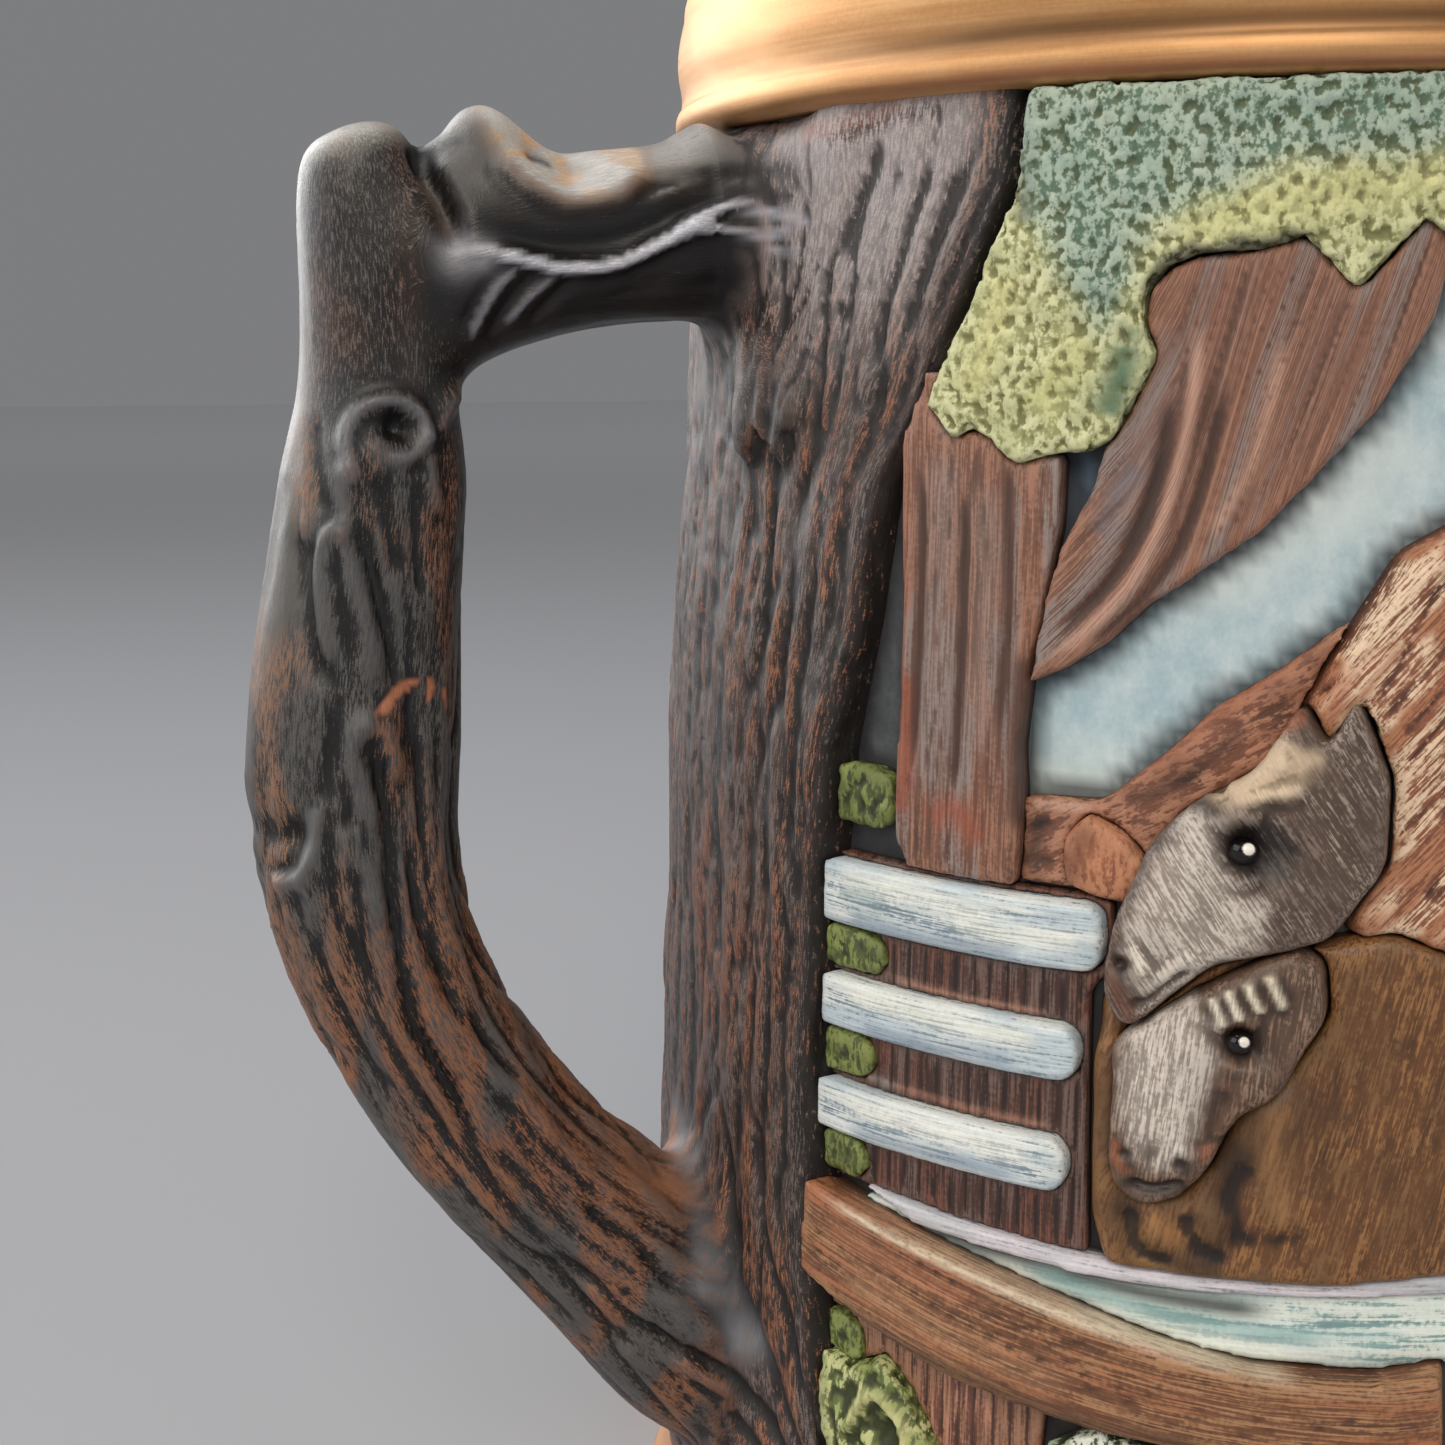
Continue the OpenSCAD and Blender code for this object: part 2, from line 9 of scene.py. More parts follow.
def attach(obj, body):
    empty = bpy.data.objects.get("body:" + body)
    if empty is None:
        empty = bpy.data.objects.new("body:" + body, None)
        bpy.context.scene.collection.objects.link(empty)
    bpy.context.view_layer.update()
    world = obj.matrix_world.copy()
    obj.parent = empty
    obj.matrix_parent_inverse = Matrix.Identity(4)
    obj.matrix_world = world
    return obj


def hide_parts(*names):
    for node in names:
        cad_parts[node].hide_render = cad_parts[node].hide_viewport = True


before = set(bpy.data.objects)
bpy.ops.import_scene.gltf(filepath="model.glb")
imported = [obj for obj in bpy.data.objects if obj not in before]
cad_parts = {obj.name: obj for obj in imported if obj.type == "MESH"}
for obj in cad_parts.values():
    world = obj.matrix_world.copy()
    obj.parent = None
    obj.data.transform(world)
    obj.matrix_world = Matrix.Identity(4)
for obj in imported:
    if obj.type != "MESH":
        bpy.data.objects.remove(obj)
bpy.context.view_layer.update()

# The stein's own measures in millimetres. Places on the wall are given as
# [degrees round from the handle, percent up the picture panel].
stein = {
    "wallLow": 55.0,        # outer radius of the wall at the foot of the panel
    "wallHigh": 52.5,       # and at its top
    "panelLow": 16.0,
    "panelHigh": 145.0,
    "flatRadius": 54.0,     # radius used where the wall is laid out flat
}

view = {
    "eye": (-0.1171, -0.1701, 0.1266),
    "heading": 20.0,      # degrees the camera is turned to the right of +Y
    "pitch": 10.8,        # degrees it looks down
    "lens": 49.83,
    "sensor": 36.0,
}


# Small sums

# 0 below low, 1 above high and a soft S between them
def ease(value, low, high):
    share = np.clip((np.asarray(value, float) - low) / (high - low), 0, 1)
    return share * share * (3 - 2 * share)


def wallRadius(z):
    share = (z - stein["panelLow"]) / (stein["panelHigh"] - stein["panelLow"])
    return stein["wallLow"] + (stein["wallHigh"] - stein["wallLow"]) * share


def levelOf(percent):
    return stein["panelLow"] + (stein["panelHigh"] - stein["panelLow"]) * np.asarray(percent, float) / 100


def percentOf(z):
    return 100 * (z - stein["panelLow"]) / (stein["panelHigh"] - stein["panelLow"])


# From places on the wall to millimetres on the flattened wall
def onWall(path):
    path = np.array(path, float)
    return np.column_stack([np.radians(path[:, 0]) * stein["flatRadius"], levelOf(path[:, 1])])


# Linear colour of a hex code
def hexColour(code):
    share = np.array([int(code[k:k + 2], 16) / 255 for k in (1, 3, 5)])
    return np.where(share <= 0.04045, share / 12.92, ((share + 0.055) / 1.055) ** 2.4)


def gradientNoise(points, seed=0):
    cell = np.floor(points).astype(np.int64)
    inside = points - cell
    soft = inside ** 3 * (inside * (inside * 6 - 15) + 10)
    total = np.zeros(len(points))
    for corner in range(8):
        step = np.array([(corner >> k) & 1 for k in range(3)])
        spot = cell + step
        mixed = (spot[:, 0] * 73856093) ^ (spot[:, 1] * 19349663) ^ (spot[:, 2] * 83492791) ^ (seed * 668265263)
        mixed = ((mixed ^ (mixed >> 13)) & 0x7fffffff) * 1274126177 & 0x7fffffffffff
        mixed = mixed ^ (mixed >> 16)
        away = inside - step
        slope = sum(((mixed >> (8 * k) & 255) / 127.5 - 1) * away[:, k] for k in range(3))
        total += slope * np.prod(np.where(step, soft, 1 - soft), axis=1)
    return total * 1.6


def layeredNoise(points, seed=0, layers=3):
    total = np.zeros(len(points))
    for k in range(layers):
        total += gradientNoise(points * 2 ** k, seed + 7 * k) / 2 ** k
    return total / 1.5


def smoothPath(points, steps=6):
    p = np.array(points, float)
    if len(p) < 3:
        return p
    p = np.vstack([2 * p[0] - p[1], p, 2 * p[-1] - p[-2]])
    t = np.linspace(0, 1, steps, endpoint=False)[:, None]
    pieces = []
    for k in range(1, len(p) - 2):
        a, b, c, d = p[k - 1:k + 3]
        bend = (2 * a - 5 * b + 4 * c - d) * t ** 2 + (3 * b - a - 3 * c + d) * t ** 3
        pieces.append(0.5 * (2 * b + (c - a) * t + bend))
    return np.vstack([*pieces, p[-2][None]])


# Distance to a path, the side of it (left is positive) and how far along it, in millimetres and as a share
def alongPath(flat, path):
    path = smoothPath(path)
    lengths = np.linalg.norm(np.diff(path, axis=0), axis=1)
    run = np.concatenate([[0], np.cumsum(lengths)])
    best = np.full(len(flat), 1e9)
    side = np.zeros(len(flat))
    place = np.zeros(len(flat))
    for k, length in enumerate(lengths):
        way = (path[k + 1] - path[k]) / max(length, 1e-9)
        off = flat - path[k]
        t = np.clip(off @ way, 0, length)
        gap = np.linalg.norm(off - t[:, None] * way, axis=1)
        nearer = gap < best
        best = np.where(nearer, gap, best)
        side = np.where(nearer, way[0] * off[:, 1] - way[1] * off[:, 0], side)
        place = np.where(nearer, run[k] + t, place)
    return best, side, place, place / run[-1]


# 1 on a path, falling softly to 0 about two widths off it
def bell(flat, path, width, taper=0.2):
    best, _, _, share = alongPath(flat, path)
    ends = ease(share, -0.001, taper) * ease(1 - share, -0.001, taper) if taper else 1
    return np.exp(-(best / width) ** 2) * ends


# Height that a list of marks adds to a surface laid out flat
def carve(flat, marks, turn=lambda path: np.array(path, float)):
    height = np.zeros(len(flat))
    for kind, width, rise, path in marks:
        path = turn(path)
        centre = path.mean(axis=0)
        near = np.linalg.norm(flat - centre, axis=1) < np.linalg.norm(path - centre, axis=1).max() + 4 * width
        some = flat[near]
        if not len(some):
            continue
        if kind == "dent":       # round bump or hollow with a soft edge
            height[near] += rise * np.exp(-(np.linalg.norm(some - path[0], axis=1) / width) ** 2)
        elif kind == "line":     # ridge or groove with tapered ends
            height[near] += rise * bell(some, path, width)
        elif kind == "band":     # the same with blunt ends
            height[near] += rise * bell(some, path, width, 0)
        else:                    # lip: rises softly on the path's left and drops sharply on its right
            best, side, _, share = alongPath(some, path)
            slope = np.where(side > 0, width, width * 0.28)
            ends = ease(share, 0, 0.15) * ease(1 - share, 0, 0.15)
            height[near] += rise * np.exp(-(best / slope) ** 2) * ends
    return height


# Signed distance to an outline, positive inside
def insideOf(flat, outline):
    outline = np.array(outline, float)
    best = np.full(len(flat), 1e9)
    inside = np.zeros(len(flat), bool)
    for a, b in zip(outline, np.roll(outline, -1, axis=0)):
        way = b - a
        t = np.clip(((flat - a) @ way) / max(way @ way, 1e-9), 0, 1)
        best = np.minimum(best, np.linalg.norm(flat - a - t[:, None] * way, axis=1))
        crosses = (a[1] > flat[:, 1]) != (b[1] > flat[:, 1])
        with np.errstate(divide="ignore", invalid="ignore"):
            inside ^= crosses & (flat[:, 0] < a[0] + way[0] * (flat[:, 1] - a[1]) / way[1])
    return np.where(inside, best, -best)


# Meshes

# Points are handled in millimetres
def readPoints(piece):
    flat = np.empty(len(piece.data.vertices) * 3)
    piece.data.vertices.foreach_get("co", flat)
    return flat.reshape(-1, 3) * 1000


def writePoints(piece, points):
    piece.data.vertices.foreach_set("co", (points / 1000).ravel())
    piece.data.update()


def readNormals(piece):
    flat = np.empty(len(piece.data.vertices) * 3)
    piece.data.vertices.foreach_get("normal", flat)
    return flat.reshape(-1, 3)


def readEdges(piece):
    flat = np.empty(len(piece.data.edges) * 2, np.int64)
    piece.data.edges.foreach_get("vertices", flat)
    return flat.reshape(-1, 2)


# Points moved towards the middle of their neighbours, as far as weight says
def relax(points, edges, rounds, weight=1.0):
    a, b = edges.T
    count = len(points)
    degree = np.maximum(np.bincount(a, minlength=count) + np.bincount(b, minlength=count), 1)
    weight = np.broadcast_to(weight, count)[:, None]
    for _ in range(rounds):
        total = [np.bincount(a, points[b, k], count) + np.bincount(b, points[a, k], count) for k in range(3)]
        middle = np.column_stack(total) / degree[:, None]
        points = points + (middle - points) * weight
    return points


# How deep each point lies below its surroundings, in millimetres
def hollows(points, normals, edges, rounds):
    return ((relax(points, edges, rounds) - points) * normals).sum(axis=1)


# Degrees round from the handle, percent up the panel, and distance from the axis
def places(points):
    around = np.degrees(np.arctan2(-points[:, 1], -points[:, 0]))
    radius = np.hypot(points[:, 0], points[:, 1])
    return around, percentOf(points[:, 2]), radius


def selectOnly(piece):
    bpy.ops.object.select_all(action="DESELECT")
    piece.select_set(True)
    bpy.context.view_layer.objects.active = piece


def applyModifier(piece, kind, **settings):
    selectOnly(piece)
    bpy.ops.object.modifier_add(type=kind)
    modifier = piece.modifiers[-1]
    for key, value in settings.items():
        setattr(modifier, key, value)
    bpy.ops.object.modifier_apply(modifier=modifier.name)


# A merged copy of some CAD nodes, as one object
def copyNodes(name, nodes):
    shape = bmesh.new()
    for node in nodes:
        shape.from_mesh(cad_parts[node].data)
    bmesh.ops.remove_doubles(shape, verts=shape.verts, dist=1e-7)
    mesh = bpy.data.meshes.new(name)
    shape.to_mesh(mesh)
    shape.free()
    piece = bpy.data.objects.new(name, mesh)
    bpy.context.scene.collection.objects.link(piece)
    return piece


# Fired from one mould: a skin of even small faces with softened edges. Only the biggest part is kept of a
# single shape, and everything but crumbs of one with several solids.
def castSkin(piece, voxel, rounds, factor=0.5, single=True):
    applyModifier(piece, "REMESH", mode="VOXEL", voxel_size=voxel / 1000, use_smooth_shade=True)
    selectOnly(piece)
    bpy.ops.object.mode_set(mode="EDIT")
    bpy.ops.mesh.select_all(action="SELECT")
    bpy.ops.mesh.separate(type="LOOSE")
    bpy.ops.object.mode_set(mode="OBJECT")
    parts = sorted(bpy.context.selected_objects, key=lambda o: -len(o.data.vertices))
    name = piece.name.split(".")[0]
    kept = [o for o in parts if not single and len(o.data.vertices) > 80] or parts[:1]
    for extra in set(parts) - set(kept):
        bpy.data.objects.remove(extra)
    if len(kept) > 1:
        bpy.context.view_layer.objects.active = kept[0]
        bpy.ops.object.join()
    piece = kept[0]
    piece.name = name
    applyModifier(piece, "SMOOTH", factor=factor, iterations=rounds)
    return piece


def finishPiece(piece, nodes, material):
    selectOnly(piece)
    bpy.ops.object.shade_smooth()
    piece.data.materials.clear()
    piece.data.materials.append(material)
    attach(piece, "root")
    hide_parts(*nodes)


# The brush work kept on a piece: its wash, its dry brushing and how much of that shows,
# and the way its grain runs (across, through and along, in millimetres)
class BrushWork:
    def __init__(self, count, wash, dry="#808080"):
        self.wash = np.tile(hexColour(wash), (count, 1))
        self.brush = np.tile(hexColour(dry), (count, 1))
        self.dry = np.zeros(count)
        self.matt = np.zeros(count)

    def lay(self, code, mask):
        self.wash += (hexColour(code) - self.wash) * np.clip(mask, 0, 1)[:, None]

    def layDry(self, code, mask):
        self.brush += (hexColour(code) - self.brush) * np.clip(mask, 0, 1)[:, None]

    def blend(self, other, share):
        self.wash += (other.wash - self.wash) * share[:, None]
        self.brush += (other.brush - self.brush) * share[:, None]
        self.dry += (other.dry - self.dry) * share
        self.matt += (other.matt - self.matt) * share

    def keep(self, piece, grain):
        mesh = piece.data
        for name, values in (("wash", self.wash), ("brush", self.brush)):
            layer = mesh.attributes.new(name, "FLOAT_COLOR", "POINT")
            layer.data.foreach_set("color",
                                   np.column_stack([values, np.ones(len(values))]).astype(np.float32).ravel())
        for name, values in (("dry", self.dry), ("matt", self.matt)):
            layer = mesh.attributes.new(name, "FLOAT", "POINT")
            layer.data.foreach_set("value", np.clip(values, 0, 1).astype(np.float32))
        layer = mesh.attributes.new("grain", "FLOAT_VECTOR", "POINT")
        layer.data.foreach_set("vector", grain.astype(np.float32).ravel())


# Materials

def addNode(tree, kind, inputs=(), **settings):
    node = tree.nodes.new(kind)
    for key, value in settings.items():
        setattr(node, key, value)
    for socket, value in dict(inputs).items():
        if isinstance(value, bpy.types.NodeSocket):
            tree.links.new(value, node.inputs[socket])
        else:
            node.inputs[socket].default_value = value
    return node


def newMaterial(name, **shader):
    material = bpy.data.materials.new(name)
    material.use_nodes = True
    tree = material.node_tree
    tree.nodes.clear()
    surface = addNode(tree, "ShaderNodeBsdfPrincipled", shader)
    addNode(tree, "ShaderNodeOutputMaterial", {"Surface": surface.outputs[0]})
    return material, tree, surface


# Fired clay painted by hand: a matt to satin wash with drier, lighter colour dragged over it, so that it
# breaks into strokes along the grain. across and along are the size of one stroke in millimetres.
def paintedClay(name, across, along, gloss, bumpDepth, grit=0.35, breaks=0.1, tones=0.27, **shader):
    material, tree, surface = newMaterial(name, **shader)
    grain = addNode(tree, "ShaderNodeAttribute", attribute_name="grain")
    strokes = addNode(tree, "ShaderNodeMapping", {"Vector": grain.outputs["Vector"],
                      "Scale": (1 / across, 1 / across, 1 / along)}, vector_type="POINT")
    streak = addNode(tree, "ShaderNodeTexNoise", {"Vector": strokes.outputs[0], "Scale": 1.0, "Detail": 4.0,
                     "Roughness": 0.62})
    fine = addNode(tree, "ShaderNodeTexNoise", {"Vector": grain.outputs["Vector"], "Scale": 1 / grit,
                   "Detail": 2.0})
    wash = addNode(tree, "ShaderNodeAttribute", attribute_name="wash")
    brush = addNode(tree, "ShaderNodeAttribute", attribute_name="brush")
    dry = addNode(tree, "ShaderNodeAttribute", attribute_name="dry")
    streaky = addNode(tree, "ShaderNodeMath", {0: fine.outputs["Fac"], 1: 0.3, 2: streak.outputs["Fac"]},
                      operation="MULTIPLY_ADD")
    wetness = addNode(tree, "ShaderNodeMath", {0: streaky.outputs[0], 1: 2.2, 2: dry.outputs["Fac"]},
                      operation="MULTIPLY_ADD")
    cover = addNode(tree, "ShaderNodeMapRange", {"Value": wetness.outputs[0], "From Min": 1.93 - breaks,
                    "From Max": 1.93 + breaks}, interpolation_type="SMOOTHSTEP")
    colour = addNode(tree, "ShaderNodeMix", {0: cover.outputs[0], 6: wash.outputs["Color"],
                     7: brush.outputs["Color"]}, data_type="RGBA")
    depth = addNode(tree, "ShaderNodeMapRange", {"Value": streaky.outputs[0], "From Min": 0.35, "From Max": 0.9,
                    "To Min": 1 - tones, "To Max": 1 + tones})
    toned = addNode(tree, "ShaderNodeMix", {0: 1.0, 6: colour.outputs[2], 7: depth.outputs[0]},
                    data_type="RGBA", blend_type="MULTIPLY")
    sheen = addNode(tree, "ShaderNodeMapRange", {"Value": streaky.outputs[0], "From Min": 0.3, "From Max": 0.95,
                    "To Min": gloss - 0.08, "To Max": gloss + 0.12})
    matt = addNode(tree, "ShaderNodeAttribute", attribute_name="matt")
    rough = addNode(tree, "ShaderNodeMath", {0: matt.outputs["Fac"], 1: 0.3, 2: sheen.outputs[0]},
                    operation="MULTIPLY_ADD")
    bump = addNode(tree, "ShaderNodeBump", {"Height": streaky.outputs[0], "Strength": 1.0,
                   "Distance": bumpDepth / 1000})
    tree.links.new(toned.outputs[2], surface.inputs["Base Color"])
    tree.links.new(rough.outputs[0], surface.inputs["Roughness"])
    tree.links.new(bump.outputs[0], surface.inputs["Normal"])
    return material


# Bark: black-brown oil colour wiped over buff clay and waxed, so it has a satin sheen with dragged strokes
barkPaint = paintedClay("waxed_bark_paint", 0.14, 1.2, 0.35, 0.05, grit=0.13, breaks=0.18)
# Leaves: stippled with a stiff brush, nearly matt
leafPaint = paintedClay("stippled_leaf_paint", 0.5, 0.7, 0.52, 0.1, breaks=0.16, tones=0.2)
# Oak wood and boards: thin terracotta wash dragged down the grain
woodPaint = paintedClay("oak_wash_paint", 0.22, 6.0, 0.5, 0.06, breaks=0.2)
# Rails: whitewash with bristle marks along them
whitePaint = paintedClay("brushed_whitewash", 0.22, 5.0, 0.5, 0.1, breaks=0.12)
# Moss, grass and earth: short dabs
dabPaint = paintedClay("dabbed_moss_paint", 0.45, 1.6, 0.58, 0.14)
# Horse coat: soft hair strokes
coatPaint = paintedClay("horse_coat_paint", 0.17, 2.2, 0.44, 0.05, breaks=0.16)
# Water: smooth, wetter colour
waterPaint = paintedClay("water_glaze_paint", 0.5, 8.0, 0.34, 0.03)
# Picture ground: airbrushed sky and shade on the smooth wall
skyPaint = paintedClay("airbrushed_wall_paint", 2.2, 3.4, 0.46, 0.01, breaks=1.4, tones=0.06)

# Copper lustre: metal colour brushed on in bands and rubbed to a satin sheen
copperLustre = paintedClay("brushed_copper_lustre", 0.5, 22.0, 0.44, 0.004, breaks=0.9, tones=0.1, Metallic=0.5)
# Eyes: black gloss glaze
eyePaint = paintedClay("black_gloss_glaze", 1.0, 1.0, 0.12, 0.0, grit=1.0)
# Inside: clear gloss glaze over ivory slip
innerGlaze = paintedClay("ivory_gloss_glaze", 6.0, 9.0, 0.16, 0.02, grit=4.0, breaks=0.3)


# The tree that the handle grows from

handle = {
    "voxel": 0.515,
    "spine": [[87.4, 145.5], [87, 141.1], [86.6, 136], [86.1, 128.9], [86.1, 121.8], [86.6, 114.6],
              [88.2, 102.9], [89.3, 90], [88.6, 79.5], [85.6, 70.1], [81, 61.5], [75.5, 53], [70.2, 47],
              [64.5, 41.5], [58, 35], [51.5, 28.9]],
    "arm": [[86, 130.5], [78.5, 133.6], [72.4, 134.7], [66.3, 135.2], [59.8, 135.7], [50, 136]],
    "fork": (81.0, 131.0),  # where the arm leaves the grip
    "forkSpread": 9.5,      # how far round it the castings are smoothed into one
    "armRoot": 136.0,       # heights where the handle's two ends meet the trunk
    "limbRoot": 37.0,
}

# marks on the handle as [distance from the stein's axis, height]
armMarks = [
    ("line", 0.55, 1.2, [[82, 132.4], [79.5, 133.8], [76.5, 133.4], [72, 132.6], [67.6, 133], [64, 134.5],
                         [60, 136.4], [57.6, 137.4]]),
    ("line", 0.45, 0.9, [[63.5, 134.8], [60, 136.9], [57, 138], [54.5, 138]]),
    ("line", 0.42, 0.8, [[62, 135.4], [59, 135.9], [56.4, 135.6], [54.4, 135]]),
    ("line", 0.7, -0.7, [[79.3, 136], [76, 135], [72, 134.4], [67.7, 134.9], [64, 136.3], [60, 138.2],
                         [54.4, 139.5]]),
    ("line", 0.5, -0.35, [[66, 138.5], [62, 139.7], [57, 140.6]]),
    ("line", 0.5, -0.4, [[63, 138.4], [58, 139.9], [54, 141.6]]),
    ("line", 0.45, 0.5, [[75.3, 133], [77.4, 131], [79, 128], [79.6, 126]]),
    ("line", 0.45, 0.45, [[72, 132.5], [74.8, 130], [76.7, 127.5]]),
    ("line", 0.5, -0.45, [[76.6, 133], [78.6, 130.5], [80, 127.5]]),
    ("line", 0.5, -0.4, [[73.6, 132.4], [76, 129.8], [78, 126.6]]),
    ("line", 0.45, -0.35, [[70.5, 132], [73, 129.6], [74.6, 127.6]]),
    ("lip", 2.2, 0.9, [[64.0, 141.2], [65.7, 139], [68.4, 137.6], [71.8, 137.4], [74, 138.3], [76, 140],
                       [76.9, 142.4]]),
    ("dent", 2.6, -1.0, [[70.5, 140.6]]),
    ("dent", 0.9, -0.7, [[73.3, 142]]),
    ("dent", 0.8, -0.5, [[69.8, 141.2]]),
    ("line", 0.9, -1.5, [[82.9, 142], [81.7, 138.6], [81, 135.8], [80.9, 133.6]]),
    ("dent", 1.1, -1.7, [[82.4, 141.8]]),
    ("line", 0.8, -0.9, [[82.2, 141], [81.6, 138], [81.2, 135.6]]),
    ("dent", 2.8, 0.8, [[76.6, 145.6]]),
    ("dent", 1.8, -0.7, [[79.9, 143.2]]),
    ("dent", 2.6, -0.35, [[90.4, 144]]),
    ("dent", 3.2, 1.5, [[56.8, 144.6]]),
]
limbMarks = [
    ("band", 0.6, 0.95, [[89.8, 116], [90.0, 118.8], [88.8, 121.2], [86.4, 121.9], [84.4, 120.9],
                         [83.6, 118.8]]),
    ("line", 0.55, 0.8, [[83.8, 119.6], [84.6, 117.8], [86, 117.2], [87, 117.4]]),
    ("dent", 1.1, -1.7, [[86.3, 119.7]]),
    ("dent", 2.2, 0.6, [[88.4, 117.6]]),
    ("line", 0.8, 0.7, [[90.1, 117.4], [90.6, 114], [90.5, 110]]),
    ("line", 0.6, 0.55, [[83.5, 118.6], [83.4, 115.5], [82.4, 112]]),
    ("line", 0.9, -0.6, [[87.6, 117], [87.2, 112], [86.3, 107]]),
    ("line", 0.6, -0.4, [[84.6, 116], [84.8, 111], [84.4, 105]]),
    ("dent", 1.1, 0.7, [[81.4, 121.8]]),
    ("line", 0.8, 0.6, [[79.8, 124], [81.2, 122], [82.8, 118.6]]),
    ("line", 0.5, -0.4, [[92, 121], [92.3, 116], [91.8, 112]]),
    ("lip", 1.6, 1.1, [[92.2, 98.5], [92.9, 103], [92.9, 108], [92.1, 110.6], [91.2, 111.8], [90.3, 110.3],
                       [89.6, 107.5], [88.9, 104.5], [88.3, 101.6], [88, 97.4]]),
    ("line", 0.9, -1.0, [[93.6, 112], [93.5, 107], [93.1, 102], [92.2, 98]]),
    ("line", 0.8, -0.7, [[90.3, 112.8], [88.7, 108], [87.8, 103], [87.2, 97]]),
    ("lip", 1.5, 0.9, [[87.3, 89.5], [87.8, 92.8], [89.2, 95.2], [90.6, 93.5], [90, 91], [89.2, 88.6],
                       [88.6, 86]]),
    ("lip", 1.3, 0.8, [[90.8, 87.5], [90.8, 84.6], [89.6, 82.8], [89, 80], [88.5, 77.6]]),
    ("lip", 1.3, -0.9, [[94.2, 89.6], [94.6, 86.8], [95.1, 84.2], [96, 82.8], [97.6, 82.8]]),
    ("dent", 1.7, -1.3, [[96.2, 85.9]]),
    ("line", 1.1, 0.8, [[94.2, 90], [94.4, 86.5], [95, 83.5], [96.2, 81.9], [98, 82.2]]),
    ("line", 0.7, -0.9, [[89.6, 94.5], [88.5, 89], [87.6, 85], [87.7, 80], [87, 74], [85.2, 68]]),
    ("line", 0.7, -0.9, [[85.9, 88], [85.6, 80], [84.9, 76.5], [82.8, 71], [80, 66.4], [77.2, 61.4]]),
    ("line", 0.6, -0.8, [[83.3, 76], [81.5, 71], [79.2, 66.4], [76.6, 62]]),
    ("line", 0.65, -0.9, [[80, 63], [77.4, 60], [75.5, 57], [72.6, 53.7], [69, 50.6]]),
    ("line", 0.6, -0.9, [[72.3, 51.5], [69.7, 48.8], [67, 46.6], [65.4, 43.3], [62.8, 41.2]]),
    ("line", 0.5, -0.8, [[67.6, 48.7], [64.2, 46.4], [60.7, 44]]),
    ("line", 0.8, -1.0, [[88.8, 77], [87.6, 73], [86.5, 69], [84.8, 65.4], [83, 61.8], [81.5, 56], [78, 50],
                         [74.2, 45.4], [70, 42]]),
    ("line", 0.75, -0.95, [[91.5, 80.7], [91.2, 75.3], [89.7, 69.8], [87.3, 64.5], [84.4, 58.6], [81, 52.4]]),
    ("line", 0.7, -0.9, [[94.2, 80.6], [93.7, 75], [92.4, 70.4], [90.4, 65.6], [87.6, 60]]),
    ("line", 0.7, -0.8, [[80.6, 58.6], [77.4, 53.6], [73.6, 48.8], [69, 44.6], [64, 41]]),
    ("line", 0.9, -1.3, [[76, 46.6], [72, 43], [66.5, 37.6], [61, 33.8], [56, 31]]),
    ("line", 0.7, -0.9, [[78, 47.4], [73.6, 42.4], [68.6, 37], [62, 32], [56, 29]]),
    ("line", 0.6, -0.6, [[71.4, 44.4], [66, 39.6], [60, 36], [55, 33]]),
    ("line", 1.0, 0.9, [[73, 43.2], [68.6, 40.4], [64.8, 38.6], [59.2, 36]]),
    ("line", 1.1, 0.8, [[69.4, 37.2], [66.5, 35], [64, 33.8], [59.3, 31.4]]),
    ("line", 1.5, 0.5, [[83.4, 72], [80.6, 66], [77, 60.6], [73, 55.6]]),
    ("dent", 3.2, -0.8, [[59.6, 46.6]]),
]


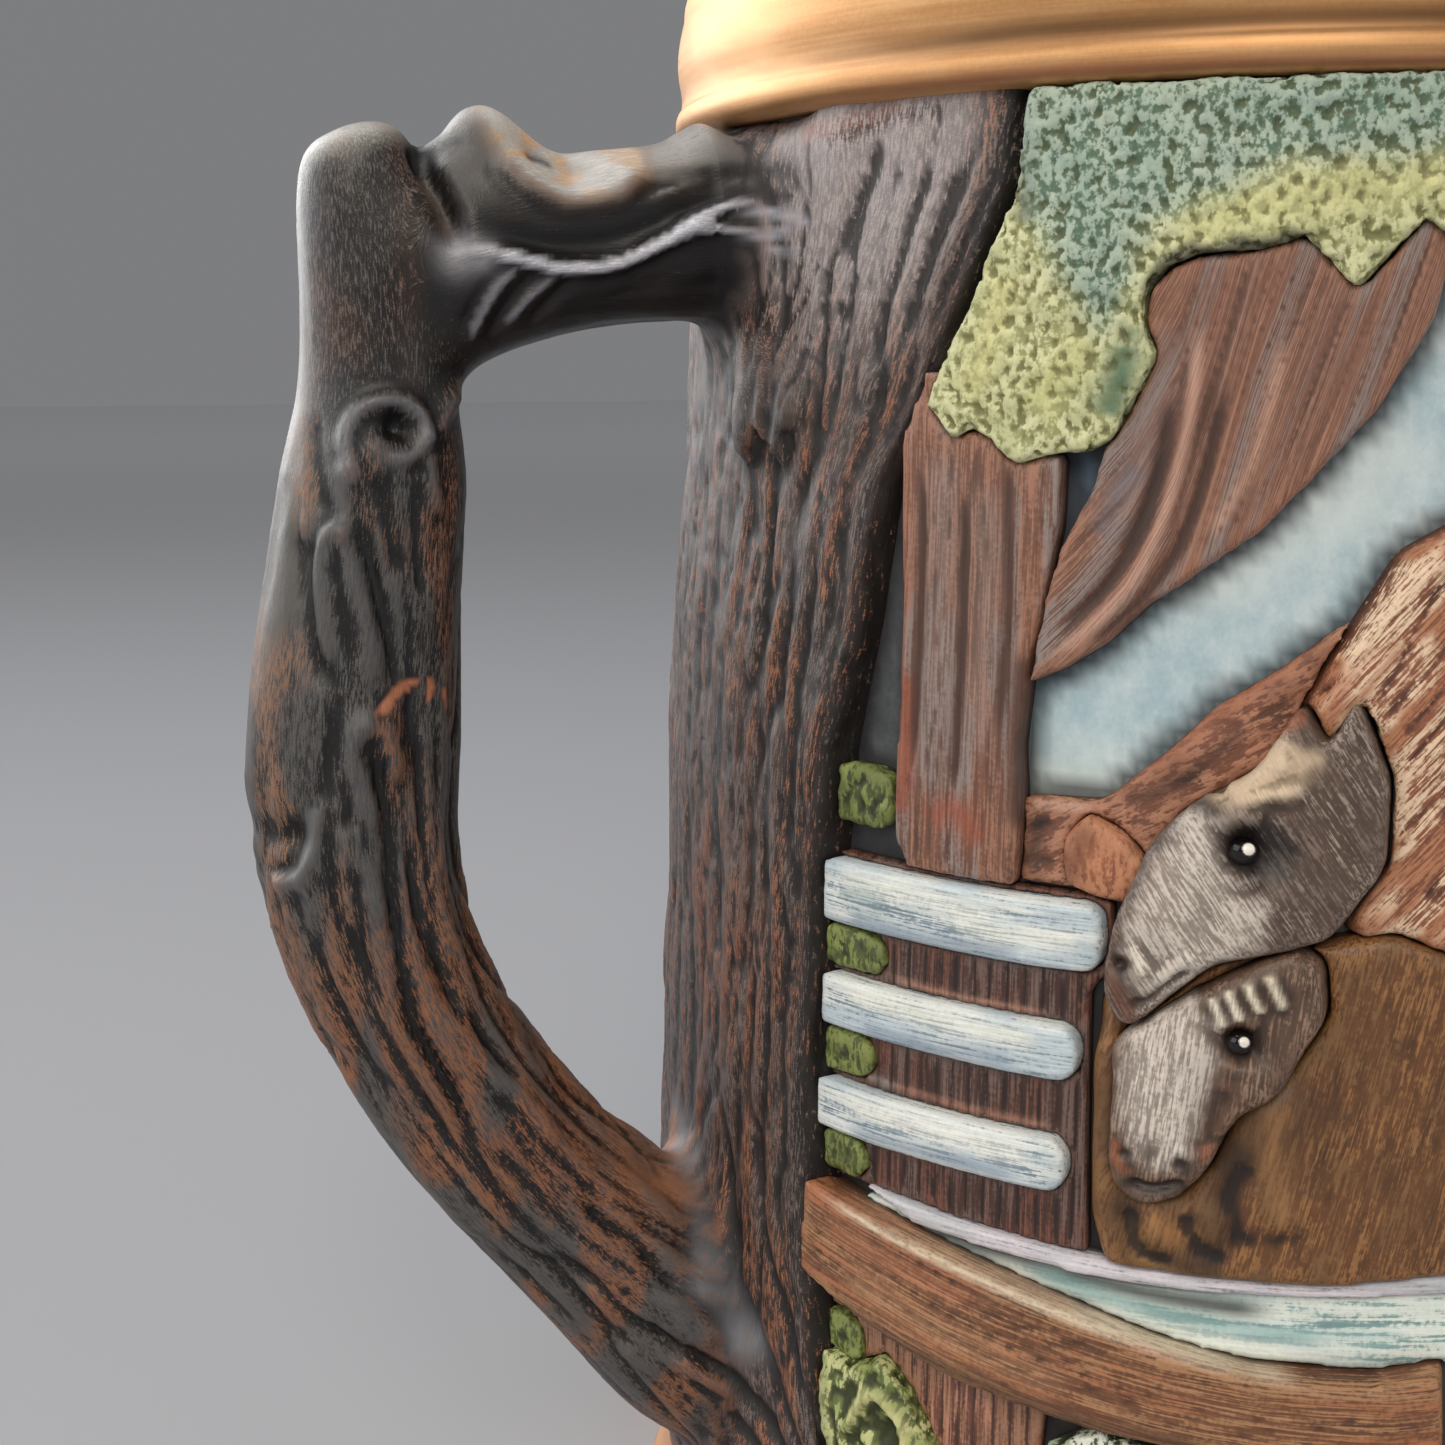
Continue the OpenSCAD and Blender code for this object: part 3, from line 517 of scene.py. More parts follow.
trunk = {
    "edge": [[0, 30], [6, 26], [15, 22.5], [24, 20.8], [36, 20.3], [50, 20.3], [60, 21.5], [68, 24], [77, 26],
             [81.5, 29], [88, 33], [95, 37], [100, 38]],
}
trunkMarks = [
    ("line", 0.85, -0.48, [[22.9, 98.3], [22.5, 96], [21.2, 94.3], [20.3, 92.8], [19, 90]]),
    ("line", 0.85, -0.54, [[29.7, 96.8], [27.4, 93.5], [26, 90], [24.2, 86.4], [23, 83]]),
    ("line", 0.85, -0.54, [[33.8, 97.8], [31.7, 94.5], [29, 90.5], [26.8, 86.4], [24.5, 82.8], [22.6, 78.7]]),
    ("line", 0.95, -0.6, [[36, 98.3], [34.4, 95], [32, 91], [29.3, 87.6], [27, 84], [24.8, 79.3]]),
    ("line", 0.75, -0.36, [[31.5, 97], [29.6, 93.4], [27.5, 89.5], [25.4, 85.6]]),
    ("line", 0.75, -0.36, [[26, 97.5], [24.8, 94], [23.4, 91], [22, 87]]),
    ("line", 0.5, -0.5, [[18, 92], [17.4, 88], [17, 83], [16.4, 77]]),
    ("line", 0.8, 0.5, [[34.9, 98], [33, 94.6], [30.6, 90.7], [28, 86.7], [25.6, 82.4]]),
    ("line", 0.8, 0.5, [[31, 97], [29, 93.5], [27, 89.6], [25, 85.6]]),
    ("line", 0.16, 0.16, [[14, 88.3], [20, 88.5], [26, 88.3], [32, 88.4]]),
    ("line", 0.6, -0.7, [[12, 84], [11.4, 79], [11, 72], [10.6, 64]]),
    ("line", 0.6, -0.6, [[15.5, 80], [15, 74], [14.2, 66], [14, 58]]),
    ("line", 0.6, -0.6, [[18.6, 74], [17.2, 67], [16.4, 60], [16, 50]]),
    ("line", 0.7, -0.7, [[-7, 22], [2, 17], [10, 11.5], [18, 6], [24, 0]]),
    ("line", 0.7, -0.7, [[-4, 27], [4, 20.5], [12, 13.6], [19, 8], [26, 1]]),
    ("line", 0.6, -0.6, [[6, 33], [9, 25], [13.6, 17.6], [19.6, 10.8], [26.6, 4]]),
    ("line", 0.6, -0.6, [[11, 36], [13, 28], [16.6, 21], [21.4, 13], [26, 7]]),
    ("line", 1.6, -0.9, [[-6, 27], [3, 24], [9, 20], [14, 15]]),
]


def nearestOnBranch(flat, path):
    best, side, place, _ = alongPath(flat, path)
    return best * np.sign(side), place


# Outside of the trunk's face as it is cast, before the bark is cut into it
def trunkFace(z):
    return wallRadius(z) + np.interp(percentOf(z), [0, 30, 60, 72, 84, 100], [4.2, 3.8, 3.6, 3, 2.1, 1.9])


def groovedBark(grain, size, seed):
    wave = size * 0.72 * gradientNoise(grain / [size * 3.9, size * 3.9, size * 6.6], seed)
    wavy = grain + np.column_stack([wave, wave * 0.4, 0 * wave])
    deep = np.exp(-(gradientNoise(wavy / [size, size * 1.2, size * 9.5], seed + 1) / 0.11) ** 2)
    thin = np.exp(-(gradientNoise(wavy / [size * 0.42, size * 0.5, size * 4.7], seed + 2) / 0.13) ** 2)
    swell = gradientNoise(wavy / [size * 1.3, size * 1.5, size * 6], seed + 3)
    return deep, thin, swell


# Points less than near above a round surface sink to depth below it, so that the piece's back is buried
def sinkBack(piece, surface, near, depth):
    points = readPoints(piece)
    radius = np.hypot(points[:, 0], points[:, 1])
    level = surface(points[:, 2])
    points[:, :2] *= np.where(radius < level + near, (level - depth) / radius, 1)[:, None]
    writePoints(piece, points)


limbNodes = ["handle_arm", "handle_stub", "handle_knob", "handle_limb", "handle_root"]


def joinTree():
    branches = copyNodes("branches", limbNodes)
    sinkBack(branches, trunkFace, 0.25, 1.6)
    tree = copyNodes("tree", ["trunk", "bark_flap"])
    sinkBack(tree, wallRadius, 0.2, 1.2)
    bpy.ops.object.select_all(action="DESELECT")
    branches.select_set(True)
    tree.select_set(True)
    bpy.context.view_layer.objects.active = tree
    bpy.ops.object.join()
    tree.name = "bark_tree"
    return castSkin(tree, handle["voxel"], 6)


# The luted joints run smoothly into one another. Also gives how near each point is to the fork.
def smoothJoints(points, edges):
    around, _, radius = places(points)
    flat = np.column_stack([radius, points[:, 2]])
    fork = np.exp(-(np.linalg.norm(flat - handle["fork"], axis=1) / handle["forkSpread"]) ** 2)
    points = relax(points, edges, 70, 0.8 * fork)
    points = relax(points, edges, 12, 0.6 * ease(points[:, 2], 118, 124) * ease(radius, 64, 68))
    near = ease(-np.abs(radius - trunkFace(points[:, 2]) - 0.8), -4.6, -2.0) * ease(-np.abs(around), -16, -12)
    armRoot = near * ease(-np.abs(points[:, 2] - handle["armRoot"]), -15, -11)
    limbRoot = near * ease(-np.abs(points[:, 2] - handle["limbRoot"]), -22, -16)
    return relax(points, edges, 90, 0.85 * np.maximum(armRoot, limbRoot)), fork


# Where each point of the tree lies: in the handle's own plane, round the trunk, and along the grain of each
class TreePlaces:
    def __init__(self, points):
        self.around, self.percent, self.radius = places(points)
        self.height = points[:, 2]
        self.flat = np.column_stack([self.radius, self.height])
        self.laid = np.column_stack([np.radians(self.around) * stein["flatRadius"], self.height])
        self.rise = self.radius - wallRadius(self.height)
        self.spineOff, spinePlace = nearestOnBranch(self.flat, handle["spine"])
        armOff, armPlace = nearestOnBranch(self.flat, handle["arm"])
        nearArm = ease(np.abs(self.spineOff) - np.abs(armOff), -4, 5)
        self.onArm = nearArm * ease(self.height, 112, 120) * ease(-self.radius, -87, -81.5)
        self.onTrunk = ease(trunkFace(self.height) - self.radius, -3.4, -0.4)
        self.outerBand = ease(self.spineOff, 2.5, 6.5) * (1 - self.onArm)
        self.edge = np.interp(self.percent, *np.array(trunk["edge"]).T)
        self.grainSpine = np.column_stack([self.spineOff, points[:, 1], spinePlace])
        self.grainArm = np.column_stack([-armOff, points[:, 1], 13 - armPlace])
        self.grainTrunk = np.column_stack([self.around / self.edge * 20, self.rise * 0.3, self.height])


def barkRelief(site, points, fork):
    radius, height, onArm, outerBand = site.radius, site.height, site.onArm, site.outerBand
    spine, arm = groovedBark(site.grainSpine, 3.6, 3), groovedBark(site.grainArm, 3.2, 11)
    deep, thin, swell = (p + (q - p) * onArm for p, q in zip(spine, arm))
    rugged = ease(-height, -118, -88) * (1 - 0.55 * outerBand * ease(height, 70, 95)) * (1 - onArm)
    rugged = np.maximum(rugged, 0.3 * onArm * ease(-radius, -76, -60))
    rugged = np.maximum(rugged, 0.35 * ease(-height, -118, -112) * (1 - onArm))
    rugged = np.maximum(rugged, 0.1) * (1 - 0.8 * fork) * (1 - ease(height, 139, 143))
    limbRelief = rugged * (-0.62 * deep - 0.3 * thin + 0.75 * swell) + carve(site.flat, armMarks + limbMarks)
    deep, thin, swell = groovedBark(site.grainTrunk, 2.2, 52)
    top = ease(site.percent, 84, 96)
    grooves = 0.34 * deep * (1 - 0.5 * top) + 0.26 * thin * (1 - 0.4 * top)
    trunkRelief = ease(site.rise, 0.4, 1.6) * (0.5 * swell - grooves + carve(site.laid, trunkMarks, onWall))
    return limbRelief + (trunkRelief - limbRelief) * site.onTrunk + 0.04 * layeredNoise(points / 1.3, 5)


# Paint on the handle: black-brown wash all over, rust and grey dragged across what stands up, black left in
# the grooves, and pale slate and grey laid on as painted highlights and sheen: on the ridges, along the outer
# edge, on the stub's top, on the arm's top and in its dish
def paintLimb(site, points, normals, hollow):
    flat, radius, height, spineOff = site.flat, site.radius, site.height, site.spineOff
    onArm, outerBand = site.onArm, site.outerBand
    ridge = ease(-hollow, 0.01, 0.09)
    pit = ease(hollow, 0.012, 0.09)
    front = ease(-points[:, 1], -1.5, 1.5)
    upward = ease(normals[:, 2], 0.05, 0.85)
    low = ease(-height, -88, -62)
    middle = ease(-height, -124, -112) * (1 - low)
    broad = layeredNoise(np.column_stack([flat / [7, 16], points[:, 1] / 7]), 21)
    rust = ease(gradientNoise(np.column_stack([flat / [4.0, 13], points[:, 1] / 5]), 31), -0.2, 0.3)
    paint = BrushWork(len(points), "#110f0f", "#55514d")
    paint.lay("#1f1916", ease(broad, -0.1, 0.3))
    paint.lay("#36281f", low * ease(broad, -0.2, 0.25) * 0.8)
    paint.lay("#26282b", ease(-broad, 0.0, 0.3) * ease(-height, -124, -112) * 0.5)
    paint.lay("#6b452f", low * ease(-spineOff, 0.5, 6.5) * ease(-radius, -84, -72) * 0.7)
    # painted sheen: slate along the handle's outer side
    paint.lay("#55565b", 0.3 * outerBand * ease(height, 84, 98))
    # painted highlight: pale grey along the handle's outer edge, where light from the left would catch it
    paint.lay("#8f8b84", 0.4 * (1 - onArm) * ease(spineOff + 0.6 * broad, 5.2, 8.0) * ease(height, 92, 108))
    # painted highlight: pale grey on the top of the stub
    stubTopHighlight = (1 - onArm) * ease(height + 0.25 * spineOff, 141, 143.6)
    paint.lay("#a5a29b", stubTopHighlight * 0.7)
    paint.layDry("#b7b4ac", stubTopHighlight * 0.8)
    # pale grey on the arm's upward faces: partly its dry-brushed top and partly a painted highlight
    paint.lay("#9a9792", 0.8 * onArm * upward * ease(height, 136.5, 140))
    paint.layDry("#87593d", np.clip(rust * (0.3 + 0.9 * low + 0.45 * middle), 0, 1))
    paint.layDry("#8a6a50", rust * middle * ease(spineOff, -2, 5) * 0.5)
    paint.layDry("#94684c", low * ease(-spineOff, 1, 6) * ease(-radius, -80, -66) * 0.5)
    paint.dry = 0.33 + 0.1 * ridge + 0.15 * low + 0.1 * middle - 0.1 * onArm - 0.3 * pit + 0.06 * outerBand
    outerEdge = carve(flat, [("line", 1.4, 1.0, [[90.2, 140], [90.3, 133], [90, 127], [89.6, 121]])])
    paint.lay("#3a2016", 0.7 * front * outerEdge * ease(rust, 0.2, 0.8))
    innerEdge = ease(-np.abs(radius - 84.6), -2.0, 0) * ease(height, 112, 124) * ease(-height, -140, -134)
    paint.lay("#3b2a20", 0.5 * front * innerEdge)
    # painted sheen: pale slate on the most raised ridges of the grip
    paint.lay("#74767b", 0.35 * ease(-hollow, 0.08, 0.17) * (1 - onArm) * ease(-height, -124, -118))
    paint.lay("#0a0808", pit * 0.92)
    # white veins where the arm and the grip meet, their pale colour partly paint and partly a painted highlight
    # on the ridges
    pale = carve(flat, armMarks[:3]) * front
    vein = ease(pale, 0.36, 0.9)
    besideVein = 1 - ease(pale, 0.3, 0.7)
    paint.lay("#c6c6cf", vein * 0.95)
    paint.layDry("#d6d6dc", vein)
    underArm = [[79.3, 136.2], [76, 135.2], [72, 134.6], [67.7, 135.2], [64, 136.9], [60, 138.6], [55, 139.4]]
    dark = ease(carve(flat, [("line", 1.5, 1.0, underArm)]), 0.2, 0.7)
    paint.lay("#090808", 0.9 * front * dark * besideVein)
    # painted shade: less dry brushing on the arm's front faces that do not face up
    paint.dry -= 0.4 * front * onArm * besideVein * (1 - upward)
    # painted sheen: pale grey on the raised lines by the fork
    paint.lay("#85858c", ease(carve(flat, armMarks[6:8]) * front, 0.15, 0.45) * 0.7)
    scars = carve(flat, [("dent", 1.6, 1.0, [[80.6, 133.4]]), ("dent", 1.1, 1.0, [[78.4, 133.4]])])
    paint.lay("#a4a2a6", 0.85 * front * scars)
    # painted sheen: pale grey on the raised veins of the grip
    risen = [m for m in limbMarks if m[2] > 0.4 and m[0] in ("band", "line") and m[3][0][1] > 80]
    veins = carve(flat, risen) * front
    paint.lay("#83848b", ease(veins, 0.35, 1.0) * 0.65)
    # the dish on the arm's shoulder: its pale grey is a painted highlight, with tan patches and a darker ring
    # round it
    dish = insideOf(flat, [[63, 144], [64, 140.6], [67, 138.4], [71.5, 137.8], [75, 139.4], [77, 142.6],
                           [78.5, 148], [63, 148]])
    dishIn = ease(dish, -0.5, 0.9) * front
    patch = ease(gradientNoise(points / [2.4, 2.4, 1.4], 46), 0.02, 0.22)
    paint.lay("#b0ada8", dishIn * 0.95)
    paint.layDry("#c4c0b8", dishIn)
    paint.lay("#c79d6c", dishIn * patch * 0.6)
    paint.lay("#8a7566", np.exp(-((dish + 0.1) / 0.5) ** 2) * front * 0.7)
    crack = carve(flat, [("line", 0.4, 1.0, [[71.4, 141.2], [72.8, 141.9], [74.2, 142]])])
    paint.lay("#241c19", 0.85 * front * crack)
    seam = carve(flat, [("line", 0.5, 1.0, [[82.8, 141.4], [82.2, 138.8], [81.5, 136.4], [81.1, 134.2]])])
    paint.lay("#7a695a", 0.55 * front * seam)
    # painted highlight: pale grey in the hollow where the grip runs into the trunk
    paint.lay("#8f9097", 0.6 * bell(flat, [[58, 49], [59.4, 45.5], [61, 42.6]], 2.2, 0) * front)
    paint.lay("#a8714f", 0.55 * bell(flat, [[66, 52], [61.6, 49.8], [59, 49.4]], 1.3, 0))
    # bare clay where the colour has chipped
    chips = front * carve(flat, [
        ("band", 0.55, 1.0, [[88.2, 96.6], [86.8, 98], [85.4, 98.6]]),
        ("band", 0.3, 1.0, [[83.8, 98.8], [83.9, 97]]),
        ("band", 0.3, 0.9, [[82.6, 97.7], [82.3, 96.2]]),
    ])
    chips += 0.3 * gradientNoise(points / 0.5, 47) * ease(chips, 0.05, 0.3)
    paint.lay("#b07050", ease(chips, 0.35, 0.65))
    paint.dry *= 1 - ease(chips, 0.2, 0.5)
    paint.matt = 0.35 * low + 0.25 * middle
    return paint


# Paint on the trunk: brown wash, slate towards the handle (partly painted sheen), rust flecks and a paler top;
# a painted highlight in the hollow by the grip and a painted shadow under the rim
def paintTrunk(site, hollow):
    around, percent, rise, edge = site.around, site.percent, site.rise, site.edge
    laid, grainTrunk = site.laid, site.grainTrunk
    ridge = ease(-hollow, 0.01, 0.09)
    pit = ease(hollow, 0.012, 0.09)
    top = ease(percent, 84, 96)
    stripes = layeredNoise(grainTrunk / [1.3, 30, 24], 62)
    paint = BrushWork(len(hollow), "#39302c", "#6f5f58")
    paint.lay("#1d1919", ease(stripes, -0.02, 0.2) * 0.75)
    # slate on the side towards the handle, which faces the left lamp: partly the bark's colour, partly painted
    # sheen
    paint.lay("#4b4d54", ease(-around, -9, 2) * ease(stripes, -0.3, 0.15) * 0.7)
    orange = np.exp(-(((percent - 44) / 17) ** 2)) * ease(-np.abs(around - 5), -12, -3)
    paint.lay("#7d4a34", orange * ease(-stripes, -0.12, 0.2) * 0.7)
    paleTop = ease(percent, 80, 92) * (1 - ease(around - edge, -7, -2)) * (0.3 + 0.7 * ease(around, 6, 15))
    paint.lay("#978d8b", paleTop * 0.9)
    paint.lay("#5e463e", 0.5 * ease(percent, 66, 80) * (1 - top) * ease(-stripes, -0.1, 0.2))
    paint.lay("#2a1a14", 0.8 * ease(-np.hypot((around - 8) / 6, (percent - 86.5) / 3.4), -1, -0.3))
    fleck = ease(gradientNoise(grainTrunk / [1.7, 30, 16], 63), -0.14, 0.16)
    paint.layDry("#98603f", fleck * 0.85)
    paint.layDry("#a79c99", 0.95 * paleTop)
    paint.dry = 0.37 + 0.12 * ridge + 0.06 * orange + 0.05 * top - 0.3 * pit
    paint.matt[:] = 0.55
    paint.lay("#141110", pit * 0.88)
    # painted highlight: pale grey in the hollow where the grip runs into the trunk
    paint.lay("#97989f", 0.75 * bell(laid, onWall([[-6, 28], [1, 25], [7, 20.5], [12, 16.4]]), 2.0, 0))
    paint.lay("#b87850", 0.7 * bell(laid, onWall([[-7, 27], [-3, 25.4], [1, 26]]), 1.2, 0))
    forks = carve(laid, [
        ("line", 0.4, 1.0, [[3, 93.4], [8, 94], [12, 93.6], [16, 93]]),
        ("line", 0.4, 0.9, [[3, 92.6], [8, 92.4], [13, 92.9]]),
        ("line", 0.3, 0.7, [[9, 91.6], [12, 91.4], [14, 91.8]]),
    ], onWall)
    paint.lay("#b5b4be", forks * 0.85)
    blackBetween = carve(laid, [
        ("line", 0.9, 1.0, [[1, 96], [6, 96.4], [11, 96.6], [14, 95.6]]),
        ("line", 0.7, 1.0, [[2, 94.6], [7, 95.2], [13, 94.6]]),
        ("line", 1.4, 1.0, [[-2, 89.4], [4, 89.8], [9, 90.6]]),
    ], onWall)
    paint.lay("#1a1514", blackBetween * 0.85 * (1 - forks))
    rim = ease(around - edge, -3.0, -0.6)
    paint.lay("#15110f", rim * 0.9)
    paint.lay("#15110f", ease(-rise, -1.2, -0.3) * 0.9)
    paint.dry *= (1 - 0.75 * rim) * (1 - 0.5 * np.clip(blackBetween, 0, 1))
    # the brushed end of the picture's ground colour under the rim, in reddish brown, with a dark painted shadow
    # of the rim band along it
    paint.lay("#8e4f3d", 0.85 * bell(laid, onWall([[14, 98.8], [20, 98.8], [26, 99.6]]), 0.9, 0))
    paint.lay("#2c1b17", 0.85 * bell(laid, onWall([[18, 97.8], [24, 98.8], [29, 99.2]]), 0.6, 0))
    return paint


def makeTree():
    tree = joinTree()
    points = readPoints(tree)
    edges = readEdges(tree)
    # the trunk's top reaches up under the rim band
    points[:, 2] += 0.9 * ease(points[:, 2], 139, 144.4) * ease(-np.hypot(points[:, 0], points[:, 1]), -61, -57)
    points, fork = smoothJoints(points, edges)
    writePoints(tree, points)
    site = TreePlaces(points)
    relief = readNormals(tree) * barkRelief(site, points, fork)[:, None]
    points = relax(points + relief, edges, 1, 0.45)
    writePoints(tree, points)
    normals = readNormals(tree)
    hollow = hollows(points, normals, edges, 7)
    work = paintLimb(site, points, normals, hollow)
    work.blend(paintTrunk(site, hollow), site.onTrunk)
    grainLimb = site.grainSpine + (site.grainArm - site.grainSpine) * site.onArm[:, None]
    work.keep(tree, grainLimb + (site.grainTrunk - grainLimb) * site.onTrunk[:, None])
    finishPiece(tree, [*limbNodes, "knot_ring", "trunk", "bark_flap"], barkPaint)
    print("bark tree", len(tree.data.polygons))
    return tree


# The pictures in relief on the wall

# How a surface's grain lies: across, through and along, from its place on the flattened wall
def grainOf(flat, rise, turn, follow):
    if follow:
        line = onWall(follow)
        return np.column_stack([flat[:, 1] - np.interp(flat[:, 0], line[:, 0], line[:, 1]), rise, flat[:, 0]])
    c, s = math.cos(math.radians(turn)), math.sin(math.radians(turn))
    return np.column_stack([flat[:, 0] * c - flat[:, 1] * s, rise, flat[:, 0] * s + flat[:, 1] * c])


def surfaceOf(kind, grain, flat, rise, size, depth, seed):
    solid = np.column_stack([flat, rise])
    if kind == "grooved":     # wood and bark
        wave = 0.9 * gradientNoise(grain / [6, 9, 12], seed)
        wavy = grain + np.column_stack([wave, 0 * wave, 0 * wave])
        deep = np.exp(-(gradientNoise(wavy / [size[0] * 1.8, 30, size[1] * 1.6], seed + 1) / 0.12) ** 2)
        thin = np.exp(-(gradientNoise(wavy / [size[0] * 0.8, 30, size[1]], seed + 2) / 0.15) ** 2)
        swell = gradientNoise(wavy / [size[0] * 2.4, 30, size[1] * 1.5], seed + 3)
        return depth * (0.7 * swell - deep - 0.55 * thin)
    if kind == "leafy":       # stippled with a round tool
        lumps = gradientNoise(solid / 4.5, seed)
        pits = ease(gradientNoise(solid / size[0], seed + 1), 0.18, 0.42)
        small = gradientNoise(solid / (0.6 * size[0]), seed + 2)
        return depth * (1.1 * lumps - 1.9 * pits - 0.5 * small)
    if kind == "boards":      # narrow upright boards with open joints
        joint = grain[:, 0] / size[0] + 0.12 * gradientNoise(grain / [3, 9, 14], seed)
        gap = np.abs(joint - np.round(joint)) * size[0]
        board = np.column_stack([np.round(joint + 0.5), 0 * joint, 0 * joint])
        lifted = 0.25 * gradientNoise(board + 0.37, seed)
        fibres = 0.3 * gradientNoise(grain / [0.6, 9, 5], seed + 1)
        return depth * (-1.1 * np.exp(-(gap / 0.16) ** 2) + lifted + fibres)
    if kind == "tufted":      # moss, grass, blossom
        tufts = gradientNoise(solid / size[0], seed)
        return depth * (1.2 * tufts + 0.7 * gradientNoise(solid / (size[0] * 0.5), seed + 1))
    # plain: a faint unevenness along the grain
    return depth * gradientNoise(grain / [size[0], 9, size[1]], seed)


# What a piece is like unless its own entry says otherwise
plainLook = {
    "voxel": 0.42, "rounds": 9,          # size of its faces and how far they are smoothed
    "far": False,                        # on the side away from the handle
    "turn": 0, "follow": None,           # the grain's lie in degrees, or a path that it follows
    "size": (1.5, 12), "depth": 0.3,     # of the tool's marks in its surface
    "marks": [],                         # relief cut by hand, as in carve
    "shading": 0.6, "cover": 0.4,        # share of the shade in the wash, and of dry brushing over it
    "strokes": [],                       # [colour, width, strength, path]
    "zones": [],                         # [colour, softness, strength, outline]
    "lifted": {}, "combed": 0,           # lighter dry brushing in zones, and more of it
    "pit": "#1c1614", "pitting": 0.85, "reach": 6,           # dark wash in hollows, and their breadth
    "edge": "#171312", "edging": 0.8, "outline": 0.52,       # and round the foot of the piece
}


def makeRelief(name, spec, seed):
    look = {**plainLook, "nodes": [name], **spec}
    piece = copyNodes(name + "_relief", look["nodes"])
    points = readPoints(piece)
    full = (np.hypot(points[:, 0], points[:, 1]) - wallRadius(points[:, 2])).max()
    sinkBack(piece, wallRadius, 0.15, 1.5)
    piece = castSkin(piece, look["voxel"], look["rounds"], single=False)
    points = readPoints(piece)
    edges = readEdges(piece)
    around, _, radius = places(points)
    if look["far"]:
        around = around % 360
    flat = np.column_stack([np.radians(around) * stein["flatRadius"], points[:, 2]])
    rise = radius - wallRadius(points[:, 2])
    grain = grainOf(flat, rise, look["turn"], look["follow"])
    size = look["size"]
    face = ease(rise, 0.1 * full, 0.55 * full)
    relief = surfaceOf(look["kind"], grain, flat, rise, size, look["depth"], seed)
    relief = face * (relief + carve(flat, look["marks"], onWall))
    normals = readNormals(piece)
    points = relax(points + normals * relief[:, None], edges, 1, 0.35)
    writePoints(piece, points)
    normals = readNormals(piece)

    hollow = hollows(points, normals, edges, look["reach"])
    ridge = ease(-hollow, 0.0, 0.07)
    pit = ease(hollow, 0.008, 0.07)
    work = BrushWork(len(points), look["wash"], look["dry"][0])
    tone = layeredNoise(grain / [size[0] * 1.1, 9, size[1]], seed + 4)
    work.lay(look["shade"], ease(tone, -0.05, 0.28) * look["shading"])
    slow = layeredNoise(grain / [size[0] * 3, 9, size[1] * 1.2], seed + 5)
    if len(look["dry"]) > 1:
        work.layDry(look["dry"][1], ease(slow, -0.1, 0.15))
    work.dry = look["cover"] + 0.2 * ridge + 0.1 * slow
    for code, width, strength, path in look["strokes"]:
        mask = strength * bell(flat, onWall(path), width, 0.12 if len(path) > 2 else 0)
        work.lay(code, mask * 0.75)
        work.layDry(code, mask)
    for code, soft, strength, outline in look["zones"]:
        ragged = 0.5 * gradientNoise(np.column_stack([flat, rise]) / 1.3, seed + 6)
        mask = strength * ease(insideOf(flat, onWall(outline)) + ragged, -soft, soft)
        work.lay(code, mask)
        work.layDry(look["lifted"].get(code, code), mask * 0.85)
        work.dry += look["combed"] * mask
    work.dry -= 0.35 * pit
    work.lay(look["pit"], pit * look["pitting"])
    edgeShade = ease(-rise, -look["outline"] * full, -0.1 * full)
    work.lay(look["edge"], edgeShade * look["edging"])
    work.dry -= 0.5 * edgeShade
    work.keep(piece, grain)
    finishPiece(piece, look["nodes"], look["paint"])
    print(piece.name, len(piece.data.polygons))
    return piece


# Looks that several pieces share
yellowLeaf = {
    "wash": "#a3a46c", "shade": "#868c5a", "dry": ["#d3d3a4", "#bfc191"], "pit": "#55522b", "cover": 0.5,
}
greenLeaf = {
    "wash": "#4f6e57", "shade": "#33503f", "dry": ["#96ab9b", "#6b9577"], "pit": "#1f2a24", "cover": 0.42,
}
leafy = {
    "slot": "leaf_paint", "paint": leafPaint, "kind": "leafy", "size": (0.85, 1.3), "depth": 0.24,
    "voxel": 0.34, "rounds": 7, "reach": 3, "edge": "#141513", "pitting": 0.6, "shading": 0.35,
}
oakWood = {
    "slot": "oak_paint", "paint": woodPaint, "kind": "grooved", "size": (0.9, 13), "depth": 0.12,
    "wash": "#7d5543", "shade": "#5c4338", "dry": ["#9c705a", "#8b7d77"], "cover": 0.42, "pit": "#3c2820",
    "pitting": 0.55, "shading": 0.5, "rounds": 12,
}
whitewash = {
    "slot": "whitewash_paint", "paint": whitePaint, "kind": "plain", "turn": 90, "size": (0.7, 9),
    "depth": 0.1, "wash": "#8fa3b0", "shade": "#6f8494", "dry": ["#dfe4e0", "#c3d0d6"], "cover": 0.6,
    "pit": "#4a5560", "edge": "#1b1d22", "rounds": 9, "outline": 0.5,
}
boards = {
    "slot": "board_paint", "paint": woodPaint, "kind": "boards", "size": (1.5, 8), "depth": 0.17,
    "wash": "#4b3028", "shade": "#35231e", "dry": ["#71493a", "#6d5850"], "cover": 0.36, "pit": "#150f0e",
    "rounds": 5,
}
mossy = {
    "slot": "moss_paint", "paint": dabPaint, "kind": "tufted", "size": (1.1, 1.5), "depth": 0.26,
    "wash": "#565f32", "shade": "#3a4226", "dry": ["#828b4c", "#6f7840"], "cover": 0.42, "pit": "#23270f",
    "rounds": 8,
}
earth = {
    "slot": "rust_paint", "paint": dabPaint, "kind": "plain", "size": (1.6, 3), "depth": 0.18,
    "wash": "#7f513e", "shade": "#543a2e", "dry": ["#ab7a60", "#96684f"], "cover": 0.42, "edge": "#2a1d18",
}
coat = {
    "slot": "coat_paint", "paint": coatPaint, "kind": "plain", "size": (0.8, 4), "depth": 0.16,
    "wash": "#5b3d26", "shade": "#3a2619", "dry": ["#86603d", "#715036"], "cover": 0.36, "pit": "#191210",
    "rounds": 14, "edge": "#1a1411",
}

